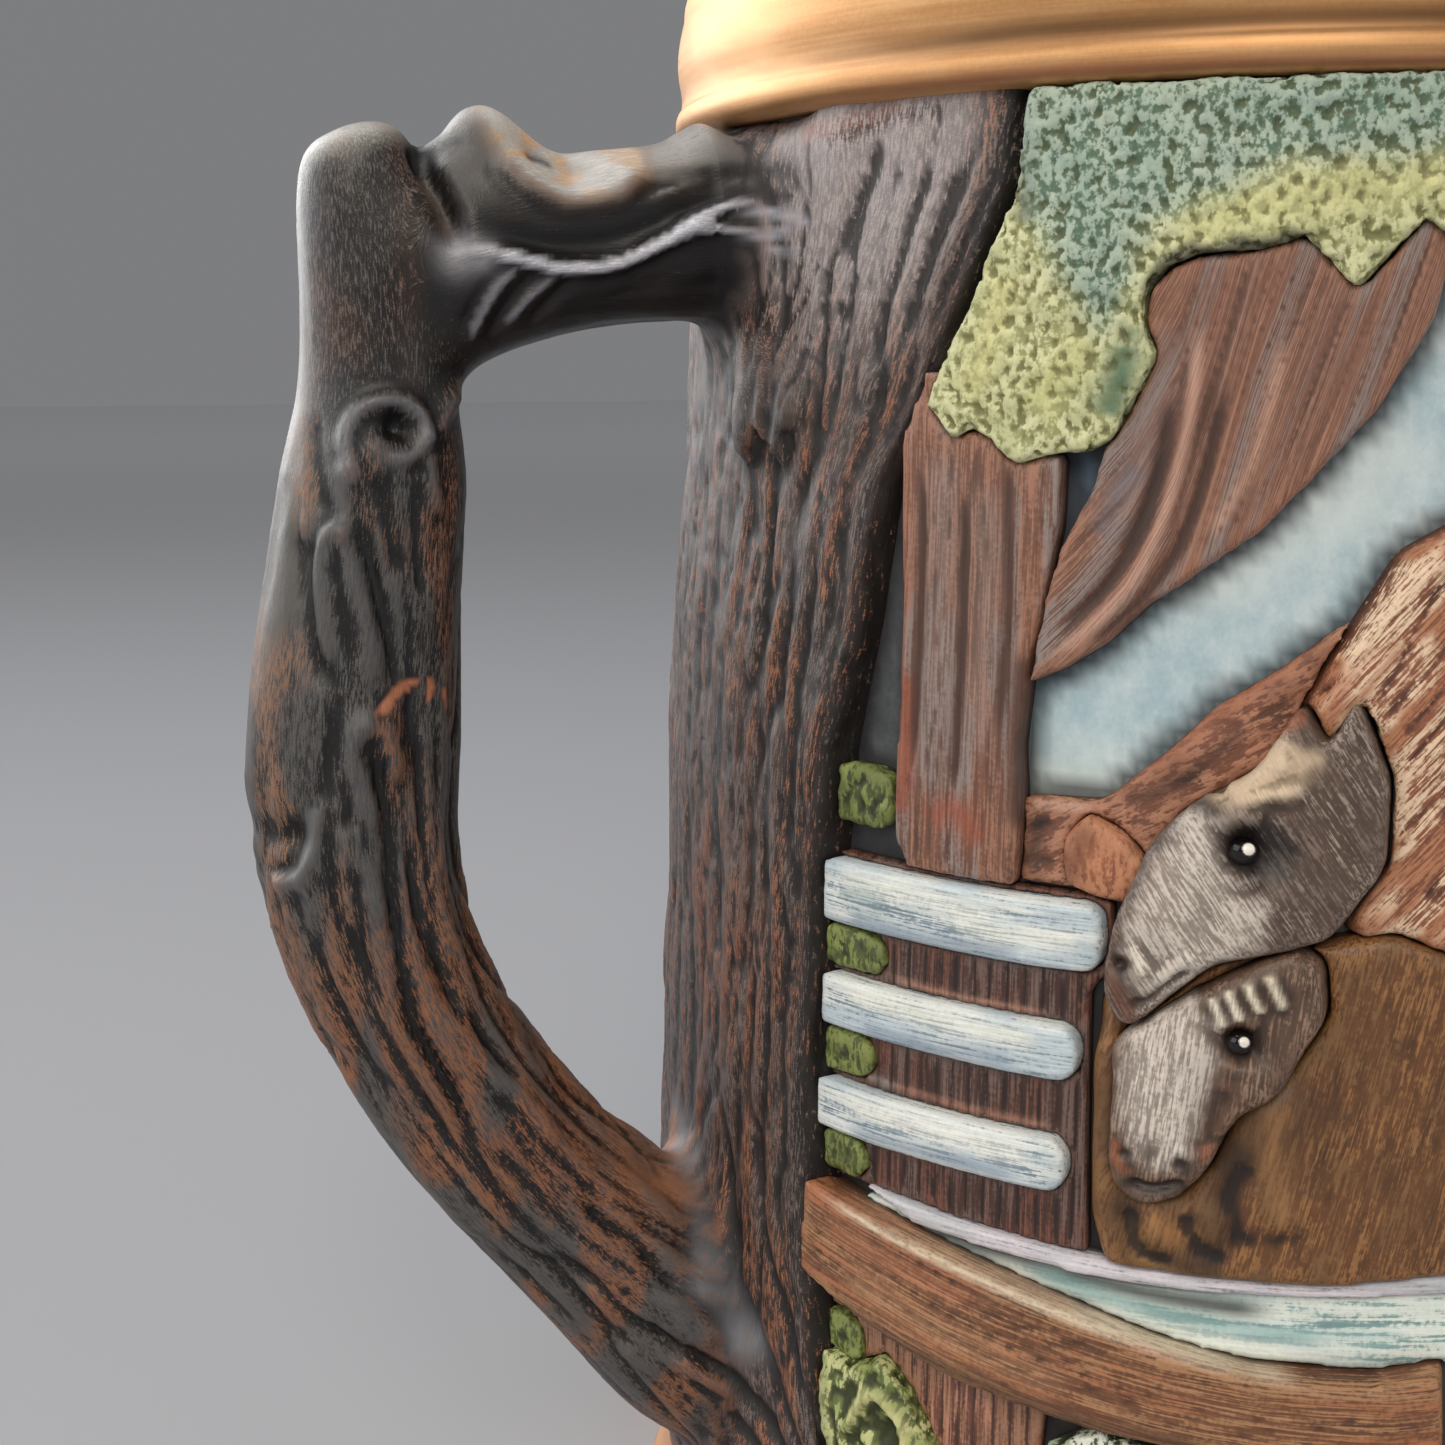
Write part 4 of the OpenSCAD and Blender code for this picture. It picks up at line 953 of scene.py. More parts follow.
reliefs = {
    "canopy": {
        **leafy, **yellowLeaf, "nodes": ["canopy_high", "canopy_low"], "lifted": {"#58755f": "#a2b4a6"},
        "zones": [
            ("#58755f", 1.6, 0.97,
             [[35, 101], [79, 101], [79, 97], [66, 95.5], [58, 95.5], [52, 93.4], [48, 92], [46.6, 89],
              [44.5, 86.4], [42, 88.5], [38.4, 93]]),
            ("#1d1b1a", 0.5, 0.9, [[47.6, 88], [48, 90.2], [51, 91], [58, 91.6], [60, 90.6], [50, 86]]),
        ],
        "strokes": [
            ("#7e9486", 1.3, 0.7, [[39, 94], [41, 96.5], [43, 99]]),
            ("#3f8058", 1.2, 0.8, [[41.4, 97], [43, 93], [44.6, 90]]),
            ("#3f7d57", 1.0, 0.7, [[46, 99.4], [47.6, 96], [48.4, 93.6]]),
            ("#232c26", 1.2, 0.8, [[37.4, 99.6], [38, 96], [38.4, 92]]),
            ("#8fa69c", 1.1, 0.7, [[45, 97.6], [46.2, 95], [46.6, 92.4]]),
            ("#42755a", 1.6, 0.8, [[52, 98.6], [60, 98.4], [70, 99]]),
            ("#93a79a", 1.0, 0.6, [[50, 99], [52, 96.6], [53, 94.8]]),
            ("#8ea28f", 1.4, 0.6, [[58, 99.6], [60, 97.4], [62, 96.4]]),
            ("#cfcb8c", 1.5, 0.8, [[33.4, 82], [35.6, 86], [37, 90]]),
            ("#c6c584", 1.6, 0.7, [[39, 81.4], [41.6, 84], [43.4, 86]]),
            ("#8f9b78", 1.3, 0.8, [[44.5, 81.4], [46, 84], [47, 87]]),
            ("#46684e", 1.0, 0.85, [[46.4, 85.6], [46, 83.4], [45.2, 81.4]]),
            ("#cdcb8e", 1.8, 0.9, [[49, 91.4], [54, 92.8], [60, 93.6], [70, 95]]),
            ("#3f5443", 0.9, 0.7, [[43, 89.6], [44.6, 88.2], [46, 88]]),
        ],
    },
    "oak_trunk": {
        **oakWood,
        "strokes": [
            ("#a65b39", 0.7, 0.95, [[26.4, 82], [26.7, 76], [27.2, 68], [26.9, 58]]),
            ("#9a5135", 1.0, 0.9, [[27.6, 56], [28.4, 60], [28.2, 66]]),
            ("#3a2822", 0.8, 0.8, [[38.8, 56], [38.6, 62], [39, 68]]),
            ("#8f8079", 1.6, 0.55, [[31, 80], [31.4, 72], [31, 62], [31.6, 57]]),
            ("#8f8079", 1.3, 0.5, [[35.4, 78], [35.6, 70], [35, 60]]),
            ("#2e201b", 0.5, 0.8, [[29.2, 78], [29.4, 70], [29, 60]]),
            ("#2e201b", 0.45, 0.8, [[33.2, 77], [33.4, 68], [33, 58]]),
            ("#3a2822", 0.5, 0.7, [[37, 79], [37.4, 71], [37, 62]]),
            ("#9c5238", 1.2, 0.8, [[31, 56], [33, 57.4], [36, 55.4]]),
        ],
        "marks": [
            ("line", 0.4, -0.35, [[29.2, 79], [29.4, 70], [29, 58]]),
            ("line", 0.4, -0.3, [[33.2, 78], [33.4, 68], [33, 57]]),
            ("line", 0.4, -0.3, [[37, 80], [37.4, 71], [37, 61]]),
        ],
    },
    "oak_bough": {
        **oakWood, "size": (1.6, 13), "voxel": 0.38, "depth": 0.1,
        "follow": [
            [36, 62], [39.5, 64.4], [43, 67], [47, 70.6], [50.4, 75.6], [52.8, 82], [56, 92], [72, 130],
        ],
        "strokes": [
            ("#c39a86", 0.45, 0.9,
             [[40.6, 66.8], [44.5, 69.2], [48, 72.6], [50.2, 77.2], [51.4, 82], [51.8, 87]]),
            ("#b3704f", 1.3, 0.85, [[44, 66.2], [50, 70], [57, 74], [66, 80]]),
            ("#8a7a76", 1.0, 0.5, [[45.6, 76], [48.4, 81], [49.6, 87]]),
            ("#2f2220", 0.55, 0.85, [[41.4, 68.6], [45.6, 72], [48.6, 76.8], [50, 83]]),
            ("#33302f", 0.6, 0.7, [[46.6, 73.6], [48.4, 76.6], [49.4, 80]]),
            ("#40302a", 0.5, 0.8, [[43.6, 67.6], [48.4, 71], [51.8, 76], [54, 84]]),
            ("#c79b84", 0.5, 0.7, [[53, 74.6], [56, 79], [58, 86]]),
            ("#5c6a78", 0.9, 0.5, [[44.6, 74.4], [45.6, 76.4], [47.4, 79]]),
        ],
        "marks": [
            ("line", 0.5, 0.5, [[40.6, 66.8], [44.5, 69.2], [48, 72.6], [50.2, 77.2], [51.4, 82], [51.8, 87]]),
            ("line", 0.6, -0.5, [[41.4, 68.6], [45.6, 72], [48.6, 76.8], [50, 83]]),
            ("line", 0.6, -0.45, [[43.6, 67.6], [48.4, 71], [51.8, 76], [54, 84]]),
            ("line", 1.4, 0.4, [[44, 66.2], [50, 70], [57, 74], [66, 80]]),
        ],
    },
    "bank": {
        **earth, "turn": 60,
        "strokes": [
            ("#a0664a", 0.9, 0.9, [[44, 59.2], [50, 61.8], [56, 65.6], [62, 69]]),
            ("#c9a18c", 0.4, 0.7, [[39.6, 58.2], [42, 58.2], [45, 58.2]]),
            ("#33231d", 0.9, 0.8, [[39.2, 54], [40.2, 56], [39.8, 57.6]]),
            ("#3a261f", 0.6, 0.7, [[47, 58.6], [52, 60.6], [57, 64]]),
        ],
    },
    "ear_stone": {
        **earth, "depth": 0.05, "rounds": 22, "wash": "#a86a49", "shade": "#8b563e", "dry": ["#bd8260"],
        "cover": 0.45, "edging": 0.6,
        "strokes": [
            # painted shade low on the stone's left, and a painted highlight along its top right
            ("#5a3427", 1.0, 0.6, [[43.4, 54.4], [44.4, 56.8]]),
            ("#c89070", 0.3, 0.8, [[44.8, 58], [47.2, 57.2], [49, 55.2]]),
        ],
    },
    "rail_top": {
        **whitewash,
        "strokes": [
            ("#eef0e6", 1.0, 0.8, [[21, 51.6], [30, 51.4], [38, 51]]),
            ("#7e93a6", 0.9, 0.7, [[22, 49.2], [30, 48.9], [40, 49.2]]),
            ("#f2f2e6", 0.8, 0.8, [[33, 50.4], [39, 50], [45, 50.4]]),
            ("#93a8a6", 0.8, 0.6, [[21.6, 50.4], [24, 50.6], [27, 50.2]]),
        ],
    },
    "rail_mid": {
        **whitewash,
        "strokes": [
            ("#f1f1e4", 0.9, 0.8, [[22, 44], [30, 43.8], [42, 43.6]]),
            ("#8b9dae", 0.8, 0.7, [[24, 41.8], [32, 41.8], [40, 42]]),
        ],
    },
    "rail_low": {
        **whitewash,
        "strokes": [
            ("#f3f3ea", 0.9, 0.85, [[22, 36.8], [30, 36.4], [42, 36.2]]),
            ("#8b9dae", 0.8, 0.7, [[23, 34.6], [32, 34.8], [41, 34.8]]),
        ],
    },
    "fence_boards": {
        **boards, "voxel": 0.36,
        "strokes": [
            ("#b0846f", 0.28, 0.8, [[26, 45.4], [33, 45.2], [42, 45.2]]),
            ("#a97c68", 0.28, 0.8, [[26, 38.2], [33, 38.1], [43, 38]]),
            ("#9a9188", 0.3, 0.7, [[22, 38.4], [25, 38.2], [28, 38.2]]),
        ],
    },
    "moss_tufts": {**mossy, "voxel": 0.36, "depth": 0.2, "rounds": 12},
    "trough_front": {
        "slot": "board_paint", "paint": woodPaint, "kind": "grooved", "depth": 0.07, "size": (0.55, 30),
        "wash": "#7d5238", "shade": "#4c3226", "dry": ["#a87d58", "#a86b48"], "cover": 0.44, "pit": "#2a1c15",
        "rounds": 10,
        "follow": [
            [17, 27.2], [21.6, 26.4], [28.4, 25.5], [35, 24.4], [43, 23.4], [52, 22.4], [60, 21.9], [70, 21.7],
            [77, 22.3],
        ],
        "strokes": [
            ("#d9c9ae", 0.26, 0.9, [[21, 29.9], [29, 28.9], [36, 28], [44, 26.8], [54, 25.2], [64, 24.2]]),
            ("#b07050", 0.9, 0.6, [[22, 28], [30, 27], [38, 26.2]]),
            ("#3a2419", 0.8, 0.7, [[22, 23.2], [30, 21.8], [44, 20.4], [58, 19.6]]),
            ("#b98b66", 1.2, 0.5, [[24, 25.4], [34, 23.6], [46, 22.2]]),
        ],
        "marks": [
            ("line", 0.5, 0.3, [[21, 29.9], [29, 28.9], [36, 28], [44, 26.8], [54, 25.2], [64, 24.2]]),
        ],
    },
    "trough_back": {
        **whitewash, "voxel": 0.34, "wash": "#a6a3ad", "dry": ["#d8d2d8", "#c7c8cc"], "rounds": 8, "cover": 0.6,
    },
    "trough_water": {
        "slot": "water_paint", "paint": waterPaint, "kind": "plain", "turn": 90, "depth": 0.1,
        "size": (1.2, 12), "wash": "#9bbfbd", "shade": "#86a6a4", "dry": ["#e4ece2", "#cfe0da"], "cover": 0.55,
        "edge": "#4f5a58", "rounds": 6,
        "strokes": [
            ("#2b2e2e", 0.9, 0.9, [[27, 29.6], [38, 28.9], [50, 28.2], [62, 27.8]]),
            ("#e9efe6", 0.9, 0.8, [[36, 28.2], [46, 26.9], [58, 25.6], [70, 25.2]]),
            ("#8fb6b4", 0.7, 0.8, [[40, 28.4], [52, 27], [66, 26.2]]),
        ],
    },
    "ivy_clump": {
        **mossy, "slot": "moss_paint", "wash": "#6c7640", "dry": ["#c2c48a", "#98a061"], "cover": 0.4,
        "voxel": 0.36,
        "marks": [
            ("band", 0.6, 1.0, [[25, 14], [27, 17], [30, 16.4], [31, 14], [28.6, 12.4], [27, 13.8]]),
            ("band", 0.5, 0.9, [[31, 12.6], [33.4, 10], [31.6, 7.6], [29.4, 9.4], [30.4, 11.4]]),
            ("line", 0.7, 0.8, [[21.6, 18], [22.6, 12], [25, 8], [28, 6]]),
            ("line", 0.6, 0.7, [[23.4, 16], [25, 11], [27.4, 8]]),
            ("band", 0.5, 0.8, [[24.4, 5], [27, 6.4], [29.4, 4.6], [28, 2.4]]),
            ("dent", 1.0, -0.9, [[28.8, 14.6]]), ("dent", 0.8, -0.8, [[31.2, 9.8]]),
        ],
        "strokes": [
            ("#ccc98f", 0.55, 0.9, [[25, 14], [27, 17], [30, 16.4], [31, 14], [28.6, 12.4], [27, 13.8]]),
            ("#cfcd96", 0.5, 0.85, [[31, 12.6], [33.4, 10], [31.6, 7.6], [29.4, 9.4]]),
            ("#a8ab76", 0.6, 0.8, [[21.6, 18], [22.6, 12], [25, 8], [28, 6]]),
            ("#7a8a3e", 1.0, 0.6, [[26, 18.6], [28.4, 18], [30.4, 16.8]]),
        ],
    },
    "ground_boards": {
        **boards, "size": (1.5, 5), "wash": "#7c5040", "shade": "#573a2e", "dry": ["#b07f68", "#9c7259"],
        "cover": 0.46, "pit": "#38251c",
    },
    "blossom_bush": {
        **mossy, "slot": "blossom_paint", "wash": "#4e5a44", "shade": "#333d30", "dry": ["#dfe3d2", "#aebc9c"],
        "cover": 0.42, "size": (1.7, 1.7), "depth": 0.4,
    },
    "mare_head": {
        **coat, "kind": "grooved", "turn": -32, "size": (0.6, 3.6), "depth": 0.05, "voxel": 0.32, "rounds": 60,
        "wash": "#5c4a3f", "shade": "#43352c", "dry": ["#93857a", "#75655a"], "cover": 0.34, "reach": 5,
        "shading": 0.4, "pitting": 0.5, "lifted": {"#a3968a": "#dbd1c5"}, "combed": 0.15,
        "marks": [
            ("line", 2.2, 0.7, [[57, 60.6], [54.4, 57.4], [52, 53.6], [50.2, 50]]),
            ("dent", 1.9, -1.1, [[56.7, 57.1]]), ("line", 0.7, 0.9, [[54.8, 58.2], [56.2, 59.1], [58, 58.8]]),
            ("line", 0.5, 0.5, [[55.2, 55.8], [56.8, 55.3], [58.4, 56]]), ("dent", 2.6, 0.8, [[59.4, 54]]),
            ("dent", 1.0, 0.8, [[48.9, 49.2]]), ("dent", 0.6, -1.1, [[48.3, 49.7]]),
            ("line", 0.45, -0.9, [[48.6, 47.6], [50.2, 47.5], [51.6, 48.5], [53.4, 50]]),
            ("line", 0.6, 0.4, [[51, 48.6], [52.2, 49.8], [53.6, 51]]),
            ("line", 0.5, 0.35, [[48.8, 51], [49.6, 50.2], [50.2, 49.2]]),
            ("line", 0.6, 0.8, [[53.4, 59.8], [55.4, 61.6], [58, 63.4]]),
            ("line", 0.5, 0.8, [[54.8, 60.2], [57, 61.2], [60, 62.4]]),
            ("line", 0.45, 0.7, [[55.8, 59.8], [58.4, 60.4], [61, 60.8]]),
            ("line", 0.4, -0.7, [[54, 59.4], [56.4, 60.9], [59.4, 62.2]]),
            ("line", 0.4, -0.6, [[53.4, 60.6], [55.4, 62.4]]),
        ],
        "zones": [
            ("#a3968a", 1.1, 0.9,
             [[52.6, 59.2], [54.6, 58.8], [55.1, 57.2], [55.4, 55.8], [56.6, 54.8], [58.4, 54], [58.2, 51.8],
              [55.8, 50.4], [53, 49], [51, 47.6], [50, 48], [49.3, 49.8], [48.5, 51.2], [48.8, 53], [49.8, 55],
              [51.2, 57]]),
            ("#221a17", 0.8, 0.95,
             [[55, 57.4], [55.8, 58.7], [57.2, 59], [59.4, 58.6], [60.6, 57], [59.8, 55.6], [57.6, 55.2],
              [56, 55.9]]),
            ("#dfc6a6", 0.9, 0.85,
             [[54.2, 60], [56.6, 59.8], [60, 60.4], [61.6, 62.6], [58, 64], [55.4, 61.8]]),
        ],
        "strokes": [
            ("#d8cfc4", 1.1, 0.5, [[53.9, 57.4], [52.6, 54.8], [51.4, 52.4]]),
            # painted highlights: a cream line on the cheek and one beside the nostril
            ("#e6dccb", 0.45, 0.9, [[51.2, 48.4], [52.4, 49.7], [53.8, 51]]),
            ("#efe4d0", 0.3, 0.95, [[49, 51], [49.7, 50.2], [50.1, 49.2]]),
            ("#84766c", 0.3, 0.7, [[54.9, 56.4], [53.8, 53.8], [52.6, 51.4]]),
            ("#8f8176", 0.22, 0.7, [[53, 57.6], [51.8, 55], [50.6, 52.4]]),
            ("#85776c", 0.22, 0.6, [[53.9, 54.8], [52.8, 52.2], [51.8, 50.4]]),
            ("#96705c", 0.4, 0.6, [[51.4, 56.8], [50.2, 54.4], [49.4, 52.4]]),
            ("#6a4433", 0.8, 0.85, [[47.9, 51], [48, 48.6], [49, 46.9], [50, 46.8]]),
            ("#140f0d", 0.55, 0.98, [[48, 50.3], [48.5, 49.3]]),
            ("#1e1713", 0.4, 0.9, [[50.4, 47.5], [51.8, 48.4], [53.4, 49.8], [57, 51]]),
            ("#7c4a33", 0.4, 0.85, [[54.4, 60.1], [56.4, 61.5], [59, 62.9]]),
            ("#8a5238", 0.35, 0.8, [[55.6, 60.2], [57.8, 61], [60.6, 61.5]]),
            ("#a8603f", 0.45, 0.7, [[54.6, 61.4], [57, 63.2], [61, 65.2]]),
            # painted shade along the head's left edge
            ("#4a3b34", 0.5, 0.8, [[48.3, 52.6], [49.3, 54.8], [50.7, 57.2], [52.2, 59]]),
            ("#2a1f1a", 0.7, 0.8, [[52.6, 59.4], [54, 59.6], [55, 59.2]]),
        ],
    },
    "foal_head": {
        **coat, "kind": "grooved", "turn": 6, "size": (0.6, 3.4), "depth": 0.05, "voxel": 0.32, "rounds": 60,
        "wash": "#5f4a3b", "shade": "#43342a", "dry": ["#8d7260", "#6f5646"], "cover": 0.34, "reach": 5,
        "shading": 0.4, "pitting": 0.5, "lifted": {"#a4978c": "#dcd3c8"}, "combed": 0.15,
        "marks": [
            ("line", 2.4, 0.7, [[55, 46.4], [52.4, 43.4], [51.4, 40.6], [51.2, 38.2]]),
            ("dent", 1.7, -1.0, [[57.1, 45.6]]), ("line", 0.6, 0.7, [[55, 46.2], [56.8, 47], [58.6, 46.7]]),
            ("line", 0.45, 0.5, [[55.8, 44.6], [57.2, 44.1], [58.6, 44.6]]), ("dent", 2.2, 0.7, [[59, 43]]),
            ("dent", 1.0, 0.8, [[49.3, 38.1]]), ("dent", 1.1, 0.8, [[53.4, 38.2]]),
            ("dent", 0.5, -1.1, [[49.2, 38.2]]), ("dent", 0.6, -1.1, [[53.3, 38]]),
            ("line", 0.4, -0.9, [[49.2, 36.6], [51.2, 36.2], [54, 36.8]]),
            ("line", 0.4, 0.7, [[54.9, 48.4], [55.5, 47.4], [56, 46.6]]),
            ("line", 0.4, 0.7, [[56, 48.9], [56.6, 47.8], [57.2, 47.1]]),
            ("line", 0.4, 0.7, [[57.3, 49.5], [57.9, 48.4], [58.6, 47.5]]),
            ("line", 0.4, 0.7, [[58.8, 50], [59.5, 48.8], [60.2, 47.8]]),
            ("line", 0.9, -0.6, [[56.2, 43.2], [55.4, 40.6], [55.6, 38.6]]),
        ],
        "zones": [
            ("#a4978c", 1.0, 0.9,
             [[48.9, 45.4], [50.6, 46.9], [53.4, 48], [55.4, 47], [55.5, 44.6], [54.8, 42.4], [54.4, 40.4],
              [53.9, 39], [52.4, 37.8], [50.8, 37.6], [49.5, 38.8], [48.8, 41], [48.7, 43.6]]),
            ("#1f1815", 0.6, 0.9,
             [[56, 45.8], [56.6, 46.6], [58.2, 46.4], [58.6, 45.4], [57.6, 44.6], [56.4, 44.8]]),
        ],
        "strokes": [
            ("#d6cec3", 1.0, 0.5, [[51.2, 45.4], [50.6, 43], [50.6, 40.4]]),
            ("#d6cec3", 0.6, 0.7, [[53.4, 44], [52.6, 41], [52.4, 39]]),
            ("#dcd4c8", 0.35, 0.9, [[52.2, 38], [52.8, 39], [53.6, 39.3]]),
            ("#8c7f74", 0.2, 0.85, [[53.2, 46.4], [52.2, 43.6], [51.7, 40.6]]),
            ("#8c7f74", 0.2, 0.8, [[54.2, 46], [53.4, 43.4], [52.8, 40.6]]),
            ("#8f8175", 0.2, 0.7, [[49.8, 44.6], [49.5, 42], [49.7, 40]]),
            ("#eae0cc", 0.34, 0.95, [[54.9, 48.4], [55.5, 47.4], [56, 46.6]]),
            ("#eae0cc", 0.34, 0.95, [[56, 48.9], [56.6, 47.8], [57.2, 47.1]]),
            ("#e6dcc4", 0.34, 0.95, [[57.3, 49.5], [57.9, 48.4], [58.6, 47.5]]),
            ("#e4d9c0", 0.34, 0.9, [[58.8, 50], [59.5, 48.8], [60.2, 47.8]]),
            ("#5a4a40", 0.22, 0.8, [[55.5, 48.6], [56.2, 47.2]]),
            ("#5a4a40", 0.22, 0.8, [[56.7, 49.2], [57.5, 47.8]]),
            ("#5a4a40", 0.22, 0.8, [[58.1, 49.7], [58.9, 48.4]]),
            ("#140f0d", 0.45, 0.98, [[48.9, 38.8], [49.5, 37.7]]),
            ("#140f0d", 0.55, 0.98, [[53.1, 38.3], [53.5, 37.7]]),
            ("#94583a", 0.45, 0.85, [[48.5, 39.2], [48.6, 37.8], [49.8, 36.9]]),
            ("#94583a", 0.6, 0.8, [[54.5, 38.6], [55.2, 38.9], [55.6, 39.4]]),
            # painted shade under the muzzle
            ("#1a1310", 0.5, 0.9, [[48.7, 36.6], [51.4, 36], [54.2, 36.6]]),
            ("#6a4a38", 1.3, 0.7, [[56.2, 43.6], [55.8, 41.4], [56, 39.6]]),
            ("#8d8074", 0.5, 0.7, [[50.4, 46.9], [52.4, 47.9], [54, 48.4]]),
        ],
    },
    "foal_body": {
        **coat, "turn": 12, "rounds": 36, "depth": 0.08, "wash": "#70492a", "shade": "#4a3420",
        "dry": ["#93683f", "#7b5a38"], "cover": 0.4, "shading": 0.4,
        "marks": [
            ("line", 0.9, -0.6, [[49.2, 34.6], [50.4, 31.6], [53.4, 30.8]]),
            ("line", 0.9, -0.5, [[53.8, 34.6], [54.8, 32.4], [57.4, 31.4]]),
            ("line", 1.6, 0.7, [[46.4, 45.8], [47, 40], [46.8, 34], [47.4, 30.4]]),
            ("line", 1.1, -0.5, [[58.6, 38.6], [57, 35.4], [58, 32]]),
            ("line", 2.2, 0.7, [[60, 43], [59.6, 38], [61, 33]]), ("dent", 1.8, 0.7, [[56, 33.6]]),
            ("dent", 1.4, 0.6, [[51.4, 32.6]]),
        ],
        "strokes": [
            ("#241a14", 1.3, 0.75, [[48.6, 35.4], [50, 31.8], [53.6, 31], [57.4, 31.6]]),
            ("#241a14", 1.0, 0.7, [[53.8, 34.6], [54.8, 32.4], [57.4, 31.6]]),
            ("#8f6234", 0.9, 0.85, [[46.2, 45], [46.6, 39], [46.2, 34], [47, 30.6]]),
            ("#96703f", 0.7, 0.75, [[49, 33.6], [51, 30.4], [54, 29.9]]),
            ("#2a1d15", 1.3, 0.75, [[57.6, 39.6], [56.6, 35.4], [58, 32]]),
            ("#3a281b", 2.4, 0.6, [[55.6, 36.6], [60, 40], [66, 42]]),
            ("#9a6c3c", 0.7, 0.7, [[51, 34], [53, 32.8], [55, 33.6]]),
            ("#a0744a", 1.0, 0.55, [[60.4, 42], [60, 38], [61.4, 34]]),
            ("#2a2019", 0.8, 0.7, [[47.8, 44.4], [47.9, 40], [48, 36.4]]),
        ],
    },
    "mare_neck": {
        **coat, "turn": 40, "wash": "#9a5f44", "shade": "#6e4230", "dry": ["#e2c5a6", "#b27a58"], "cover": 0.48,
        "kind": "grooved", "size": (1.0, 9), "depth": 0.14, "rounds": 24,
    },
    "mare_body": {
        **coat, "turn": 80, "wash": "#6d4329", "shade": "#472b1b", "dry": ["#93643f", "#7d5335"], "rounds": 18,
    },
}

# The side away from the handle
farLook = {"voxel": 0.7, "far": True}
reliefs.update({
    "canopy_right": {
        **leafy, **greenLeaf, **farLook, "voxel": 0.55, "size": (1.8, 1.8),
        "strokes": [("#a9ad68", 5, 0.85, [[118, 88], [130, 84], [142, 86], [158, 92]])],
    },
    "canopy_left": {
        **leafy, **greenLeaf, **farLook, "voxel": 0.55, "size": (1.8, 1.8),
        "strokes": [("#a9ad68", 5, 0.85, [[274, 92], [288, 84], [304, 82], [318, 88]])],
    },
    "oak_right": {**oakWood, **farLook},
    "oak_left": {**oakWood, **farLook},
    "hill": {
        **mossy, **farLook, "turn": 80, "wash": "#66703c", "dry": ["#98a05e", "#858c4c"], "size": (2.6, 8),
        "depth": 0.2, "shading": 0.4, "outline": 0.4,
    },
    "grazing_horse": {
        **coat, **farLook, "voxel": 0.5, "turn": 80, "rounds": 10, "wash": "#6f4a31",
        "marks": [("dent", 3.5, 0.5, [[188, 59]]), ("dent", 3, 0.5, [[199, 60]])],
        "strokes": [
            ("#d8d0bf", 0.6, 0.9, [[170.4, 46.6], [170.8, 50]]),
            ("#2a1d16", 0.9, 0.8, [[176, 60.4], [173, 57], [171.6, 54]]),
            ("#2a1d16", 0.8, 0.85, [[205, 60], [205.2, 55], [204.4, 51]]),
        ],
    },
    "pasture_rail_top": {**whitewash, **farLook, "voxel": 0.5},
    "pasture_rail_low": {**whitewash, **farLook, "voxel": 0.5},
    "pasture_posts": {**boards, **farLook, "voxel": 0.5, "size": (1.3, 9), "depth": 0.2},
    "bush_right": {**mossy, **farLook, "size": (1.8, 1.8), "depth": 0.4, "voxel": 0.55},
    "bush_left": {**mossy, **farLook, "size": (1.8, 1.8), "depth": 0.4, "voxel": 0.55},
    "grass_right": {**mossy, **farLook, "kind": "grooved", "size": (1.2, 5), "depth": 0.2},
    "grass_left": {**mossy, **farLook, "kind": "grooved", "size": (1.2, 5), "depth": 0.2},
})


eyes = {
    "mare_eye": {"place": (56.7, 57.2), "radius": 1.15},
    "foal_eye": {"place": (57.1, 45.8), "radius": 1.0},
}


def makeEyes():
    proud, squash = 4.9, 0.86     # middle of a ball outside the wall, and its height to its breadth
    for name, eyeball in eyes.items():
        angle = math.radians(eyeball["place"][0])
        z = float(levelOf(eyeball["place"][1]))
        reach = float(wallRadius(z)) + proud
        centre = Vector((-reach * math.cos(angle), -reach * math.sin(angle), z)) / 1000
        bpy.ops.object.select_all(action="DESELECT")
        bpy.ops.mesh.primitive_uv_sphere_add(segments=64, ring_count=40, radius=eyeball["radius"] / 1000,
                                             location=centre)
        eye = bpy.context.object
        eye.name = name
        bpy.ops.object.mode_set(mode="EDIT")
        bpy.ops.mesh.select_all(action="SELECT")
        bpy.ops.transform.resize(value=(1, 1, squash), center_override=centre)
        bpy.ops.object.mode_set(mode="OBJECT")
        bpy.ops.object.transform_apply(location=True, rotation=True, scale=True)
        points = readPoints(eye)
        out = points - np.array(centre) * 1000
        # a dab of white where light would catch it
        glint = Vector((-math.cos(angle) * 0.9 + 0.28 * math.sin(angle),
                        -math.sin(angle) - 0.28 * math.cos(angle), 0.3)).normalized()
        work = BrushWork(len(points), "#0b0909", "#0b0909")
        work.lay("#f4efe2", ease(out @ np.array(glint) / np.linalg.norm(out, axis=1), 0.9, 0.93))
        work.keep(eye, points)
        bpy.ops.object.shade_smooth()
        eye.data.materials.append(eyePaint)
        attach(eye, "root")
        print(name, len(eye.data.polygons))


# The body turned on the wheel

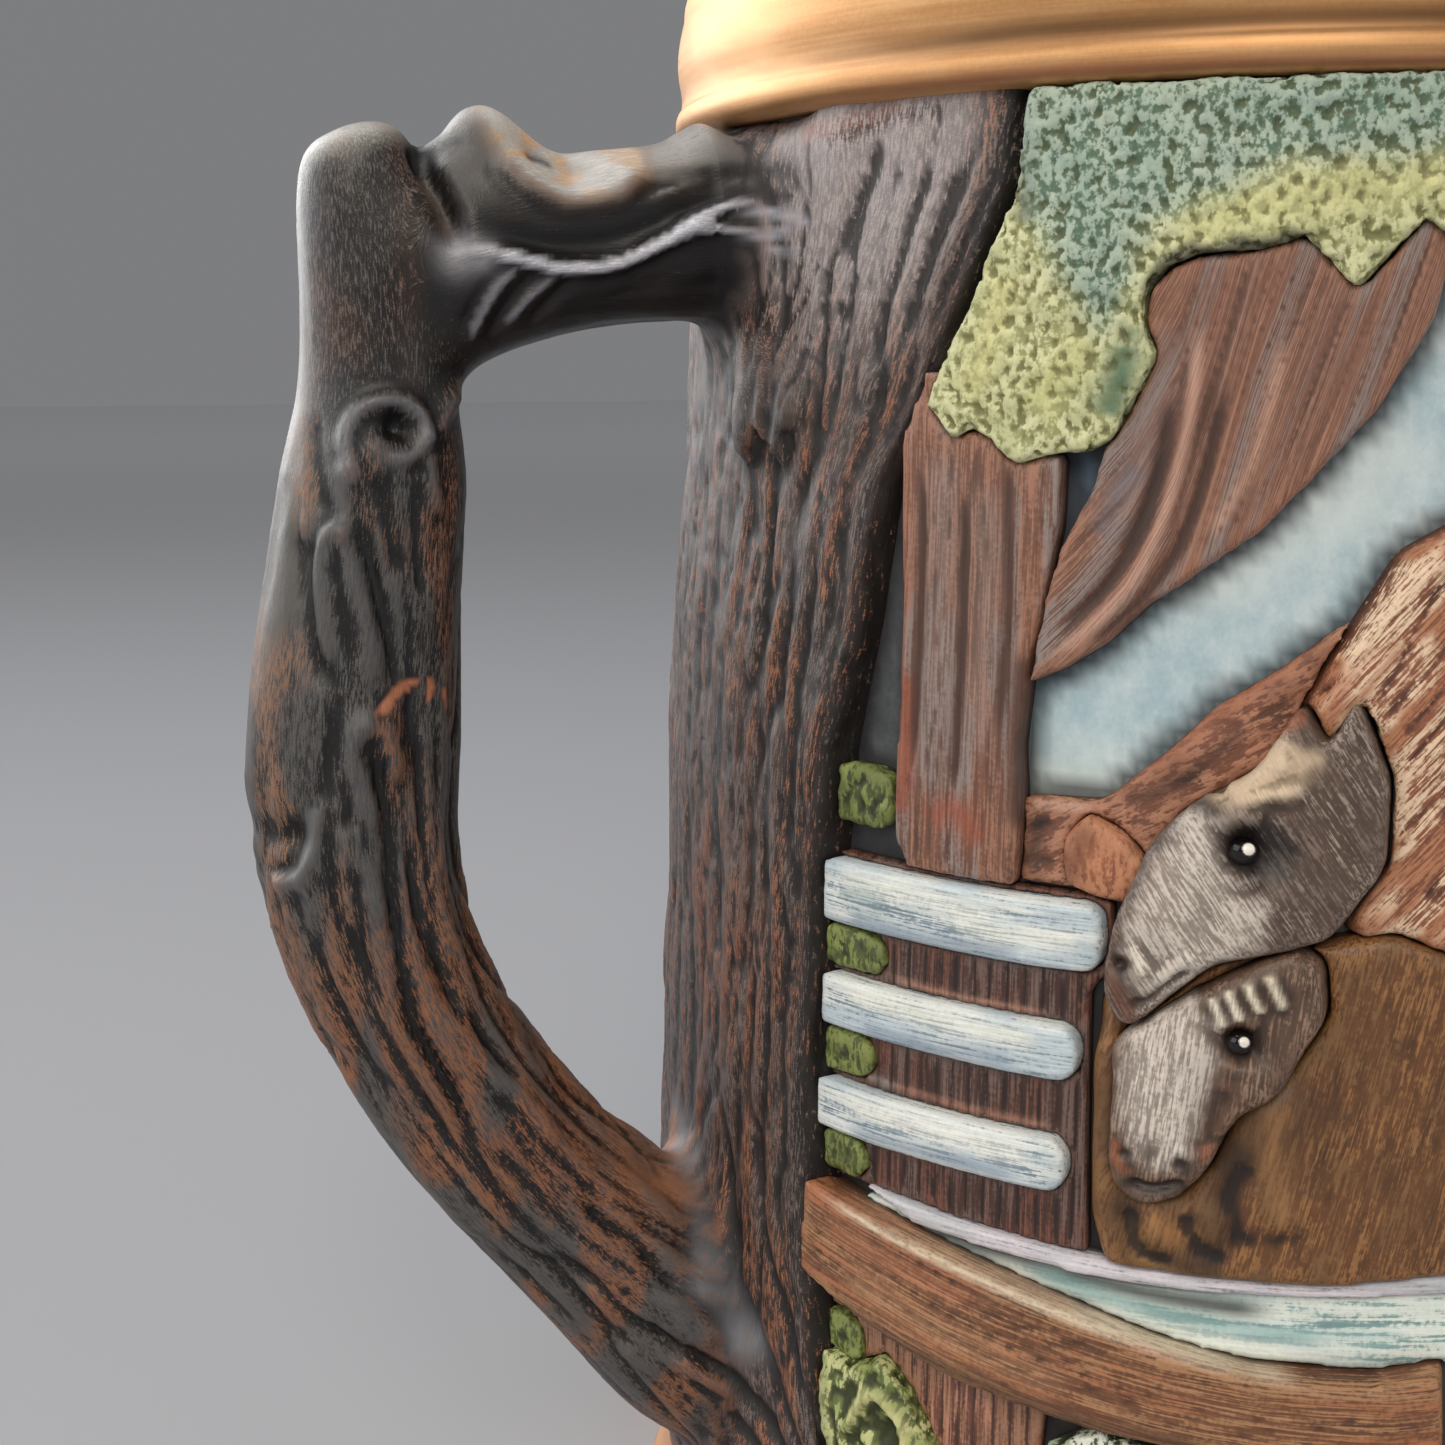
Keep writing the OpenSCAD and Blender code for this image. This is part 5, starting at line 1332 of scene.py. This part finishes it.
def spinProfile(name, profile, steps, closed=False):
    bpy.ops.object.select_all(action="DESELECT")
    mesh = bpy.data.meshes.new(name)
    points = [(r / 1000, 0, z / 1000) for r, z in profile]
    links = [(k, k + 1) for k in range(len(points) - 1)] + ([(len(points) - 1, 0)] if closed else [])
    mesh.from_pydata(points, links, [])
    piece = bpy.data.objects.new(name, mesh)
    bpy.context.scene.collection.objects.link(piece)
    selectOnly(piece)
    bpy.ops.object.mode_set(mode="EDIT")
    bpy.ops.mesh.select_all(action="SELECT")
    bpy.ops.mesh.spin(steps=steps, angle=2 * math.pi, center=(0, 0, 0), axis=(0, 0, 1))
    bpy.ops.mesh.select_all(action="SELECT")
    bpy.ops.mesh.remove_doubles(threshold=1e-6)
    bpy.ops.mesh.normals_make_consistent(inside=False)
    bpy.ops.object.mode_set(mode="OBJECT")
    return piece


def arc(centre, radius, start, end, steps):
    turns = np.radians(np.linspace(start, end, steps))
    return [(centre[0] + radius * math.cos(t), centre[1] + radius * math.sin(t)) for t in turns]


body = {
    "steps": 360,
    "rows": 104,           # rows of faces up the picture panel
    "wall": 4.5,
    "recess": 2.0,
    "floor": 8.0,
    "cornerRadius": 5.0,   # inside, between floor and wall
    "footRing": 48.0,      # inner radius of the ring it stands on
    "lipTop": 162.0,
}


# colours laid on the wall between the pictures, as [colour, softness of the edge, outline]
grounds = [
    ("#2c2d33", 1.2, [[14, 50], [14, 86], [27, 86], [27.5, 50]]),
    ("#4c6b86", 0.8, [[39, 69], [39.5, 82], [47, 82], [44, 74]]),
    ("#1d1b1c", 1.0, [[46, 85.5], [47, 90.2], [58, 91.5], [58, 87]]),
    ("#1c1918", 1.5, [[16, 27], [16, 53], [48, 53], [50, 27]]),
    ("#3a2a22", 1.6, [[16, 0], [16, 26], [80, 24], [80, 0]]),
]


# Half the section of the body, from the middle of its base round by the lip to the middle of its floor
def vesselProfile():
    lip = body["wall"] / 2
    lipMiddle = (stein["wallHigh"] - lip, body["lipTop"] - lip)
    levels = np.linspace(stein["panelLow"], stein["panelHigh"], body["rows"])
    panel = [(float(wallRadius(z)), z) for z in levels]
    innerLow, innerHigh = stein["wallLow"] - body["wall"], stein["wallHigh"] - body["wall"]
    curve = body["cornerRadius"]
    depth = body["floor"] + curve - stein["panelHigh"]
    shares = np.linspace(0, 1, 24)
    inside = [(innerHigh + (innerLow - innerHigh) * t, stein["panelHigh"] + depth * t) for t in shares]
    ring = body["footRing"]
    under = [(0, body["recess"]), (24, body["recess"]), (ring - 2.4, body["recess"]), (ring - 0.7, 0.9),
             (ring + 0.3, 0.15), (ring + 1, 0), (54.4, 0), (54.9, 0.3), (55, 1)]
    floor = [(30, body["floor"]), (12, body["floor"]), (0, body["floor"])]
    return [
        *under, *panel, (stein["wallHigh"], 152), *arc(lipMiddle, lip, 0, 180, 13), (innerHigh, 152), *inside,
        *arc((innerLow - curve, body["floor"] + curve), curve, -12, -90, 7), *floor,
    ]


# How far each point that is asked for lies from the nearest raised piece
def gapToRaised(points, asked, raisedPieces):
    foots = []
    for piece in raisedPieces:
        spots = readPoints(piece)
        above = np.hypot(spots[:, 0], spots[:, 1]) - wallRadius(spots[:, 2])
        foots.append(spots[(above > -0.2) & (above < 0.9)])
    foots = np.vstack(foots)
    search = KDTree(len(foots))
    for k, spot in enumerate(foots):
        search.insert(spot, k)
    search.balance()
    gap = np.full(len(points), 9.0)
    for k in np.flatnonzero(asked):
        gap[k] = search.find(points[k])[2]
    return gap


def paintVessel(vessel, raisedPieces):
    points = readPoints(vessel)
    around, percent, radius = places(points)
    flat = np.column_stack([np.radians(around % 360) * stein["flatRadius"], points[:, 2]])
    onPanel = (radius > wallRadius(points[:, 2]) - 0.5) & (percent > -1) & (percent < 101)
    clouds = layeredNoise(np.column_stack([flat / [22, 12], 0 * radius]), 71, 2)
    work = BrushWork(len(points), "#9dbcc8", "#d7e1df")
    work.lay("#c9d8d8", ease(clouds, -0.1, 0.3))
    work.lay("#d5d9c8", ease(-np.abs(percent - 50), -14, -4) * 0.8)
    work.lay("#707a45", ease(-percent, -44, -38))
    work.layDry("#8d9657", ease(-percent, -46, -38))
    work.dry = 0.38 + 0.2 * clouds
    for code, soft, outline in grounds:
        inside = ease(insideOf(flat, onWall(outline)), -soft, soft)
        work.lay(code, inside)
        work.layDry(code, inside * 0.85)
    # soft dark line of wash that has run up against every raised piece
    line = 1.5 + 0.9 * gradientNoise(np.column_stack([flat / 3, 0 * radius]), 73)
    shade = ease(-gapToRaised(points, onPanel, raisedPieces), -line - 0.5, -0.3) * onPanel
    work.lay("#1f1d1e", shade * 0.78)
    work.layDry("#39383a", shade)
    # painted shadow under the overhang of the rim band
    under = onPanel * ease(percent, 97, 99)
    work.lay("#17130f", under)
    work.layDry("#241c18", under)
    # raw clay on the foot, ivory slip inside, a copper edge on the lip
    bare = ~onPanel
    work.lay("#b5835f", bare & (points[:, 2] < 6) & (radius > 20) | bare & (points[:, 2] < 2.5))
    glazeInside = bare & (radius < wallRadius(points[:, 2]) - 0.5) & (points[:, 2] > 6)
    work.lay("#e3d6bb", glazeInside)
    work.lay("#b98552", bare & (points[:, 2] > 145) & (radius > 49.5))
    work.layDry("#e3d6bb", glazeInside)
    work.dry[bare] = 0
    work.keep(vessel, np.column_stack([flat[:, 0], radius, flat[:, 1]]))


def makeVessel(raisedPieces):
    vessel = spinProfile("vessel_body", vesselProfile(), body["steps"])
    paintVessel(vessel, raisedPieces)
    selectOnly(vessel)
    bpy.ops.object.shade_smooth_by_angle(angle=math.radians(40))
    vessel.data.materials.append(skyPaint)
    vessel.data.materials.append(innerGlaze)
    inner = np.zeros(len(vessel.data.polygons), np.int32)
    for face in vessel.data.polygons:
        middle = face.center * 1000
        reach = math.hypot(middle.x, middle.y)
        inner[face.index] = middle.z > 6 and reach < wallRadius(middle.z) - 1.2 or middle.z > 158
    vessel.data.polygons.foreach_set("material_index", inner)
    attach(vessel, "root")
    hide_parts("vessel")
    print("vessel", len(vessel.data.polygons))


rim = {
    "low": 145.0,
    "shoulder": (52.5, 156.75),    # middle of the rounding at its top
    "shoulderRadius": 3.0,
    "top": 159.7,
}


def makeBands():
    low = rim["low"]
    outside = smoothPath([
        (55.5, low + 0.2), (56.1, low + 0.7), (56.35, low + 1.4), (56.35, low + 2.0), (56.2, low + 2.5),
        (55.95, low + 2.9), (55.85, low + 3.4), (55.85, low + 4.2), (55.95, low + 5), (56.1, low + 6),
        (56.15, low + 7), (56.05, low + 8.6), (55.8, low + 10), (55.55, low + 11)], 4)
    shoulder = arc(rim["shoulder"], rim["shoulderRadius"], 4, 86, 10)
    profile = [(51.8, low), (54.6, low), *map(tuple, outside), *shoulder, (51.8, rim["top"])]
    piece = spinProfile("rim_band_ring", profile, 256, True)
    rings = [(low + 3.7, 0.95, "#5f3f1e", 0.9), (low + 0.7, 0.5, "#8a4f3a", 0.7)]
    paintBand(piece, "rim_band", ["#c68f58", "#dcac78", "#4a2e18"], rings)
    outside = smoothPath([
        (60, 1.2), (60, 4.2), (59.6, 5.4), (58.5, 7.2), (57.8, 9.2), (57.4, 11.5), (57.2, 14.4), (56.9, 15.4)
    ], 5)
    profile = [(54.4, 0.02), (58.7, 0.02), (59.6, 0.3), *map(tuple, outside), (56, 16), (54.4, 16)]
    piece = spinProfile("foot_band_ring", profile, 256, True)
    paintBand(piece, "foot_band", ["#c9946c", "#dcab82", "#5a3522"], [])


# codes are the wash, the dry brushing and the grooves. Each ring is [height, width, colour, strength].
def paintBand(piece, node, codes, rings):
    points = readPoints(piece)
    normals = readNormals(piece)
    edges = readEdges(piece)
    radius = np.hypot(points[:, 0], points[:, 1])
    around = np.arctan2(points[:, 1], points[:, 0])
    # thrown by hand, so the ring wavers a little
    waver = 0.16 * gradientNoise(np.column_stack([points[:, :2] / 26, points[:, 2] / 7]), 81)
    points[:, :2] += normals[:, :2] * (waver * (radius > 54.5))[:, None]
    writePoints(piece, points)
    streak = layeredNoise(np.column_stack([np.cos(around) * 9, np.sin(around) * 9, points[:, 2] / 1.4]), 82)
    work = BrushWork(len(points), codes[0], codes[1])
    hollow = ease(hollows(points, normals, edges, 4), 0.02, 0.12)
    work.lay(codes[1], ease(streak, -0.2, 0.3) * 0.4)
    work.lay(codes[2], hollow * 0.9)
    work.dry = 0.3 + 0.12 * streak - 0.4 * hollow
    # darker lustre rubbed into the grooves, partly patina and partly painted shade in them; it fades out
    # towards the handle, where painted light from the left lamp washes it out
    for height, width, code, strength in rings:
        turn = np.degrees(np.arctan2(-points[:, 1], -points[:, 0])) % 360
        fade = np.interp(turn, [0, 14, 34, 330, 346, 360], [0.1, 0.3, 1, 1, 0.3, 0.1])
        waves = 0.35 * gradientNoise(np.column_stack([np.cos(around) * 3, np.sin(around) * 3, 0 * around]), 83)
        mask = strength * fade * np.exp(-((points[:, 2] - height - waves) / width) ** 2) * (radius > 55)
        work.lay(code, mask)
        work.layDry(code, mask)
        work.dry -= 0.3 * mask
    work.keep(piece, np.column_stack([around * 55, radius, points[:, 2]])[:, [2, 1, 0]])
    finishPiece(piece, [node], copperLustre)
    print(piece.name, len(piece.data.polygons))


# Camera, floor and studio light

def addCamera():
    bpy.ops.object.select_all(action="DESELECT")
    bpy.ops.object.camera_add(location=view["eye"])
    camera = bpy.context.object
    camera.name = "camera"
    camera.rotation_euler = (math.radians(90 - view["pitch"]), 0, math.radians(-view["heading"]))
    camera.data.lens = view["lens"]
    camera.data.sensor_width = view["sensor"]
    camera.data.clip_start = 0.01
    bpy.context.scene.camera = camera
    print("camera")


studio = {
    "air": "#e6e7ea",
    "glow": 0.26,             # strength of the light from all round
    "floor": 8,               # metres
    "paperNear": "#b4b5b9",
    "paperFar": "#f4f5f7",
    "fade": (0.35, 2.6),      # metres from the piece
}

softboxes = [
    # name, place, where it points, width, height, watts, colour
    ("key", (-0.5, -0.8, 0.8), (-0.02, -0.02, 0.09), 0.6, 0.6, 7.2, "#fff6ea"),
    ("left_window", (-0.9, 0.08, 0.5), (-0.08, 0, 0.1), 0.8, 0.8, 3.4, "#ffffff"),
    ("back_card", (-0.5, 0.72, 0.46), (-0.08, 0, 0.12), 0.7, 0.7, 9.0, "#ffffff"),
    ("top", (-0.15, 0.3, 0.9), (-0.05, 0, 0.12), 0.6, 0.5, 3.0, "#fbfdff"),
    ("fill", (0.7, -0.8, 0.4), (0, 0, 0.08), 0.8, 0.8, 1.8, "#f4f8ff"),
]


def addLights():
    for name, place, aim, width, height, watts, colour in softboxes:
        bpy.ops.object.light_add(type="AREA", location=place)
        lamp = bpy.context.object
        lamp.name = name
        lamp.data.shape = "RECTANGLE"
        lamp.data.size = width
        lamp.data.size_y = height
        lamp.data.energy = watts
        lamp.data.color = hexColour(colour)
        lamp.visible_diffuse = name != "back_card"    # the card only shows as a reflection
        lamp.rotation_euler = (Vector(aim) - Vector(place)).to_track_quat("-Z", "Y").to_euler()
    world = bpy.data.worlds.new("studio")
    world.use_nodes = True
    air = world.node_tree.nodes["Background"].inputs
    air[0].default_value = (*hexColour(studio["air"]), 1)
    air[1].default_value = studio["glow"]
    bpy.context.scene.world = world
    bpy.context.scene.view_settings.view_transform = "Standard"
    print("lights", len(softboxes))


def addFloor():
    bpy.ops.mesh.primitive_plane_add(size=studio["floor"])
    floor = bpy.context.object
    floor.name = "floor"
    # pale seamless paper, painted greyer near the piece and paler far off to even out the lamps' light on it
    material, tree, surface = newMaterial("studio_paper", **{"Roughness": 0.95, "Specular IOR Level": 0.0})
    place = addNode(tree, "ShaderNodeTexCoord")
    reach = addNode(tree, "ShaderNodeVectorMath", {0: place.outputs["Object"]}, operation="LENGTH")
    far = addNode(tree, "ShaderNodeMapRange", {"Value": reach.outputs["Value"], "From Min": studio["fade"][0],
                  "From Max": studio["fade"][1]}, interpolation_type="SMOOTHSTEP")
    tone = addNode(tree, "ShaderNodeMix", {0: far.outputs[0], 6: (*hexColour(studio["paperNear"]), 1),
                   7: (*hexColour(studio["paperFar"]), 1)}, data_type="RGBA")
    tree.links.new(tone.outputs[2], surface.inputs["Base Color"])
    floor.data.materials.append(material)
    print("floor")


addCamera()
raisedPieces = [makeTree()]
for seed, (name, spec) in enumerate(reliefs.items()):
    raisedPieces.append(makeRelief(name, spec, 100 + 10 * seed))
makeEyes()
makeVessel(raisedPieces)
makeBands()
addLights()
addFloor()
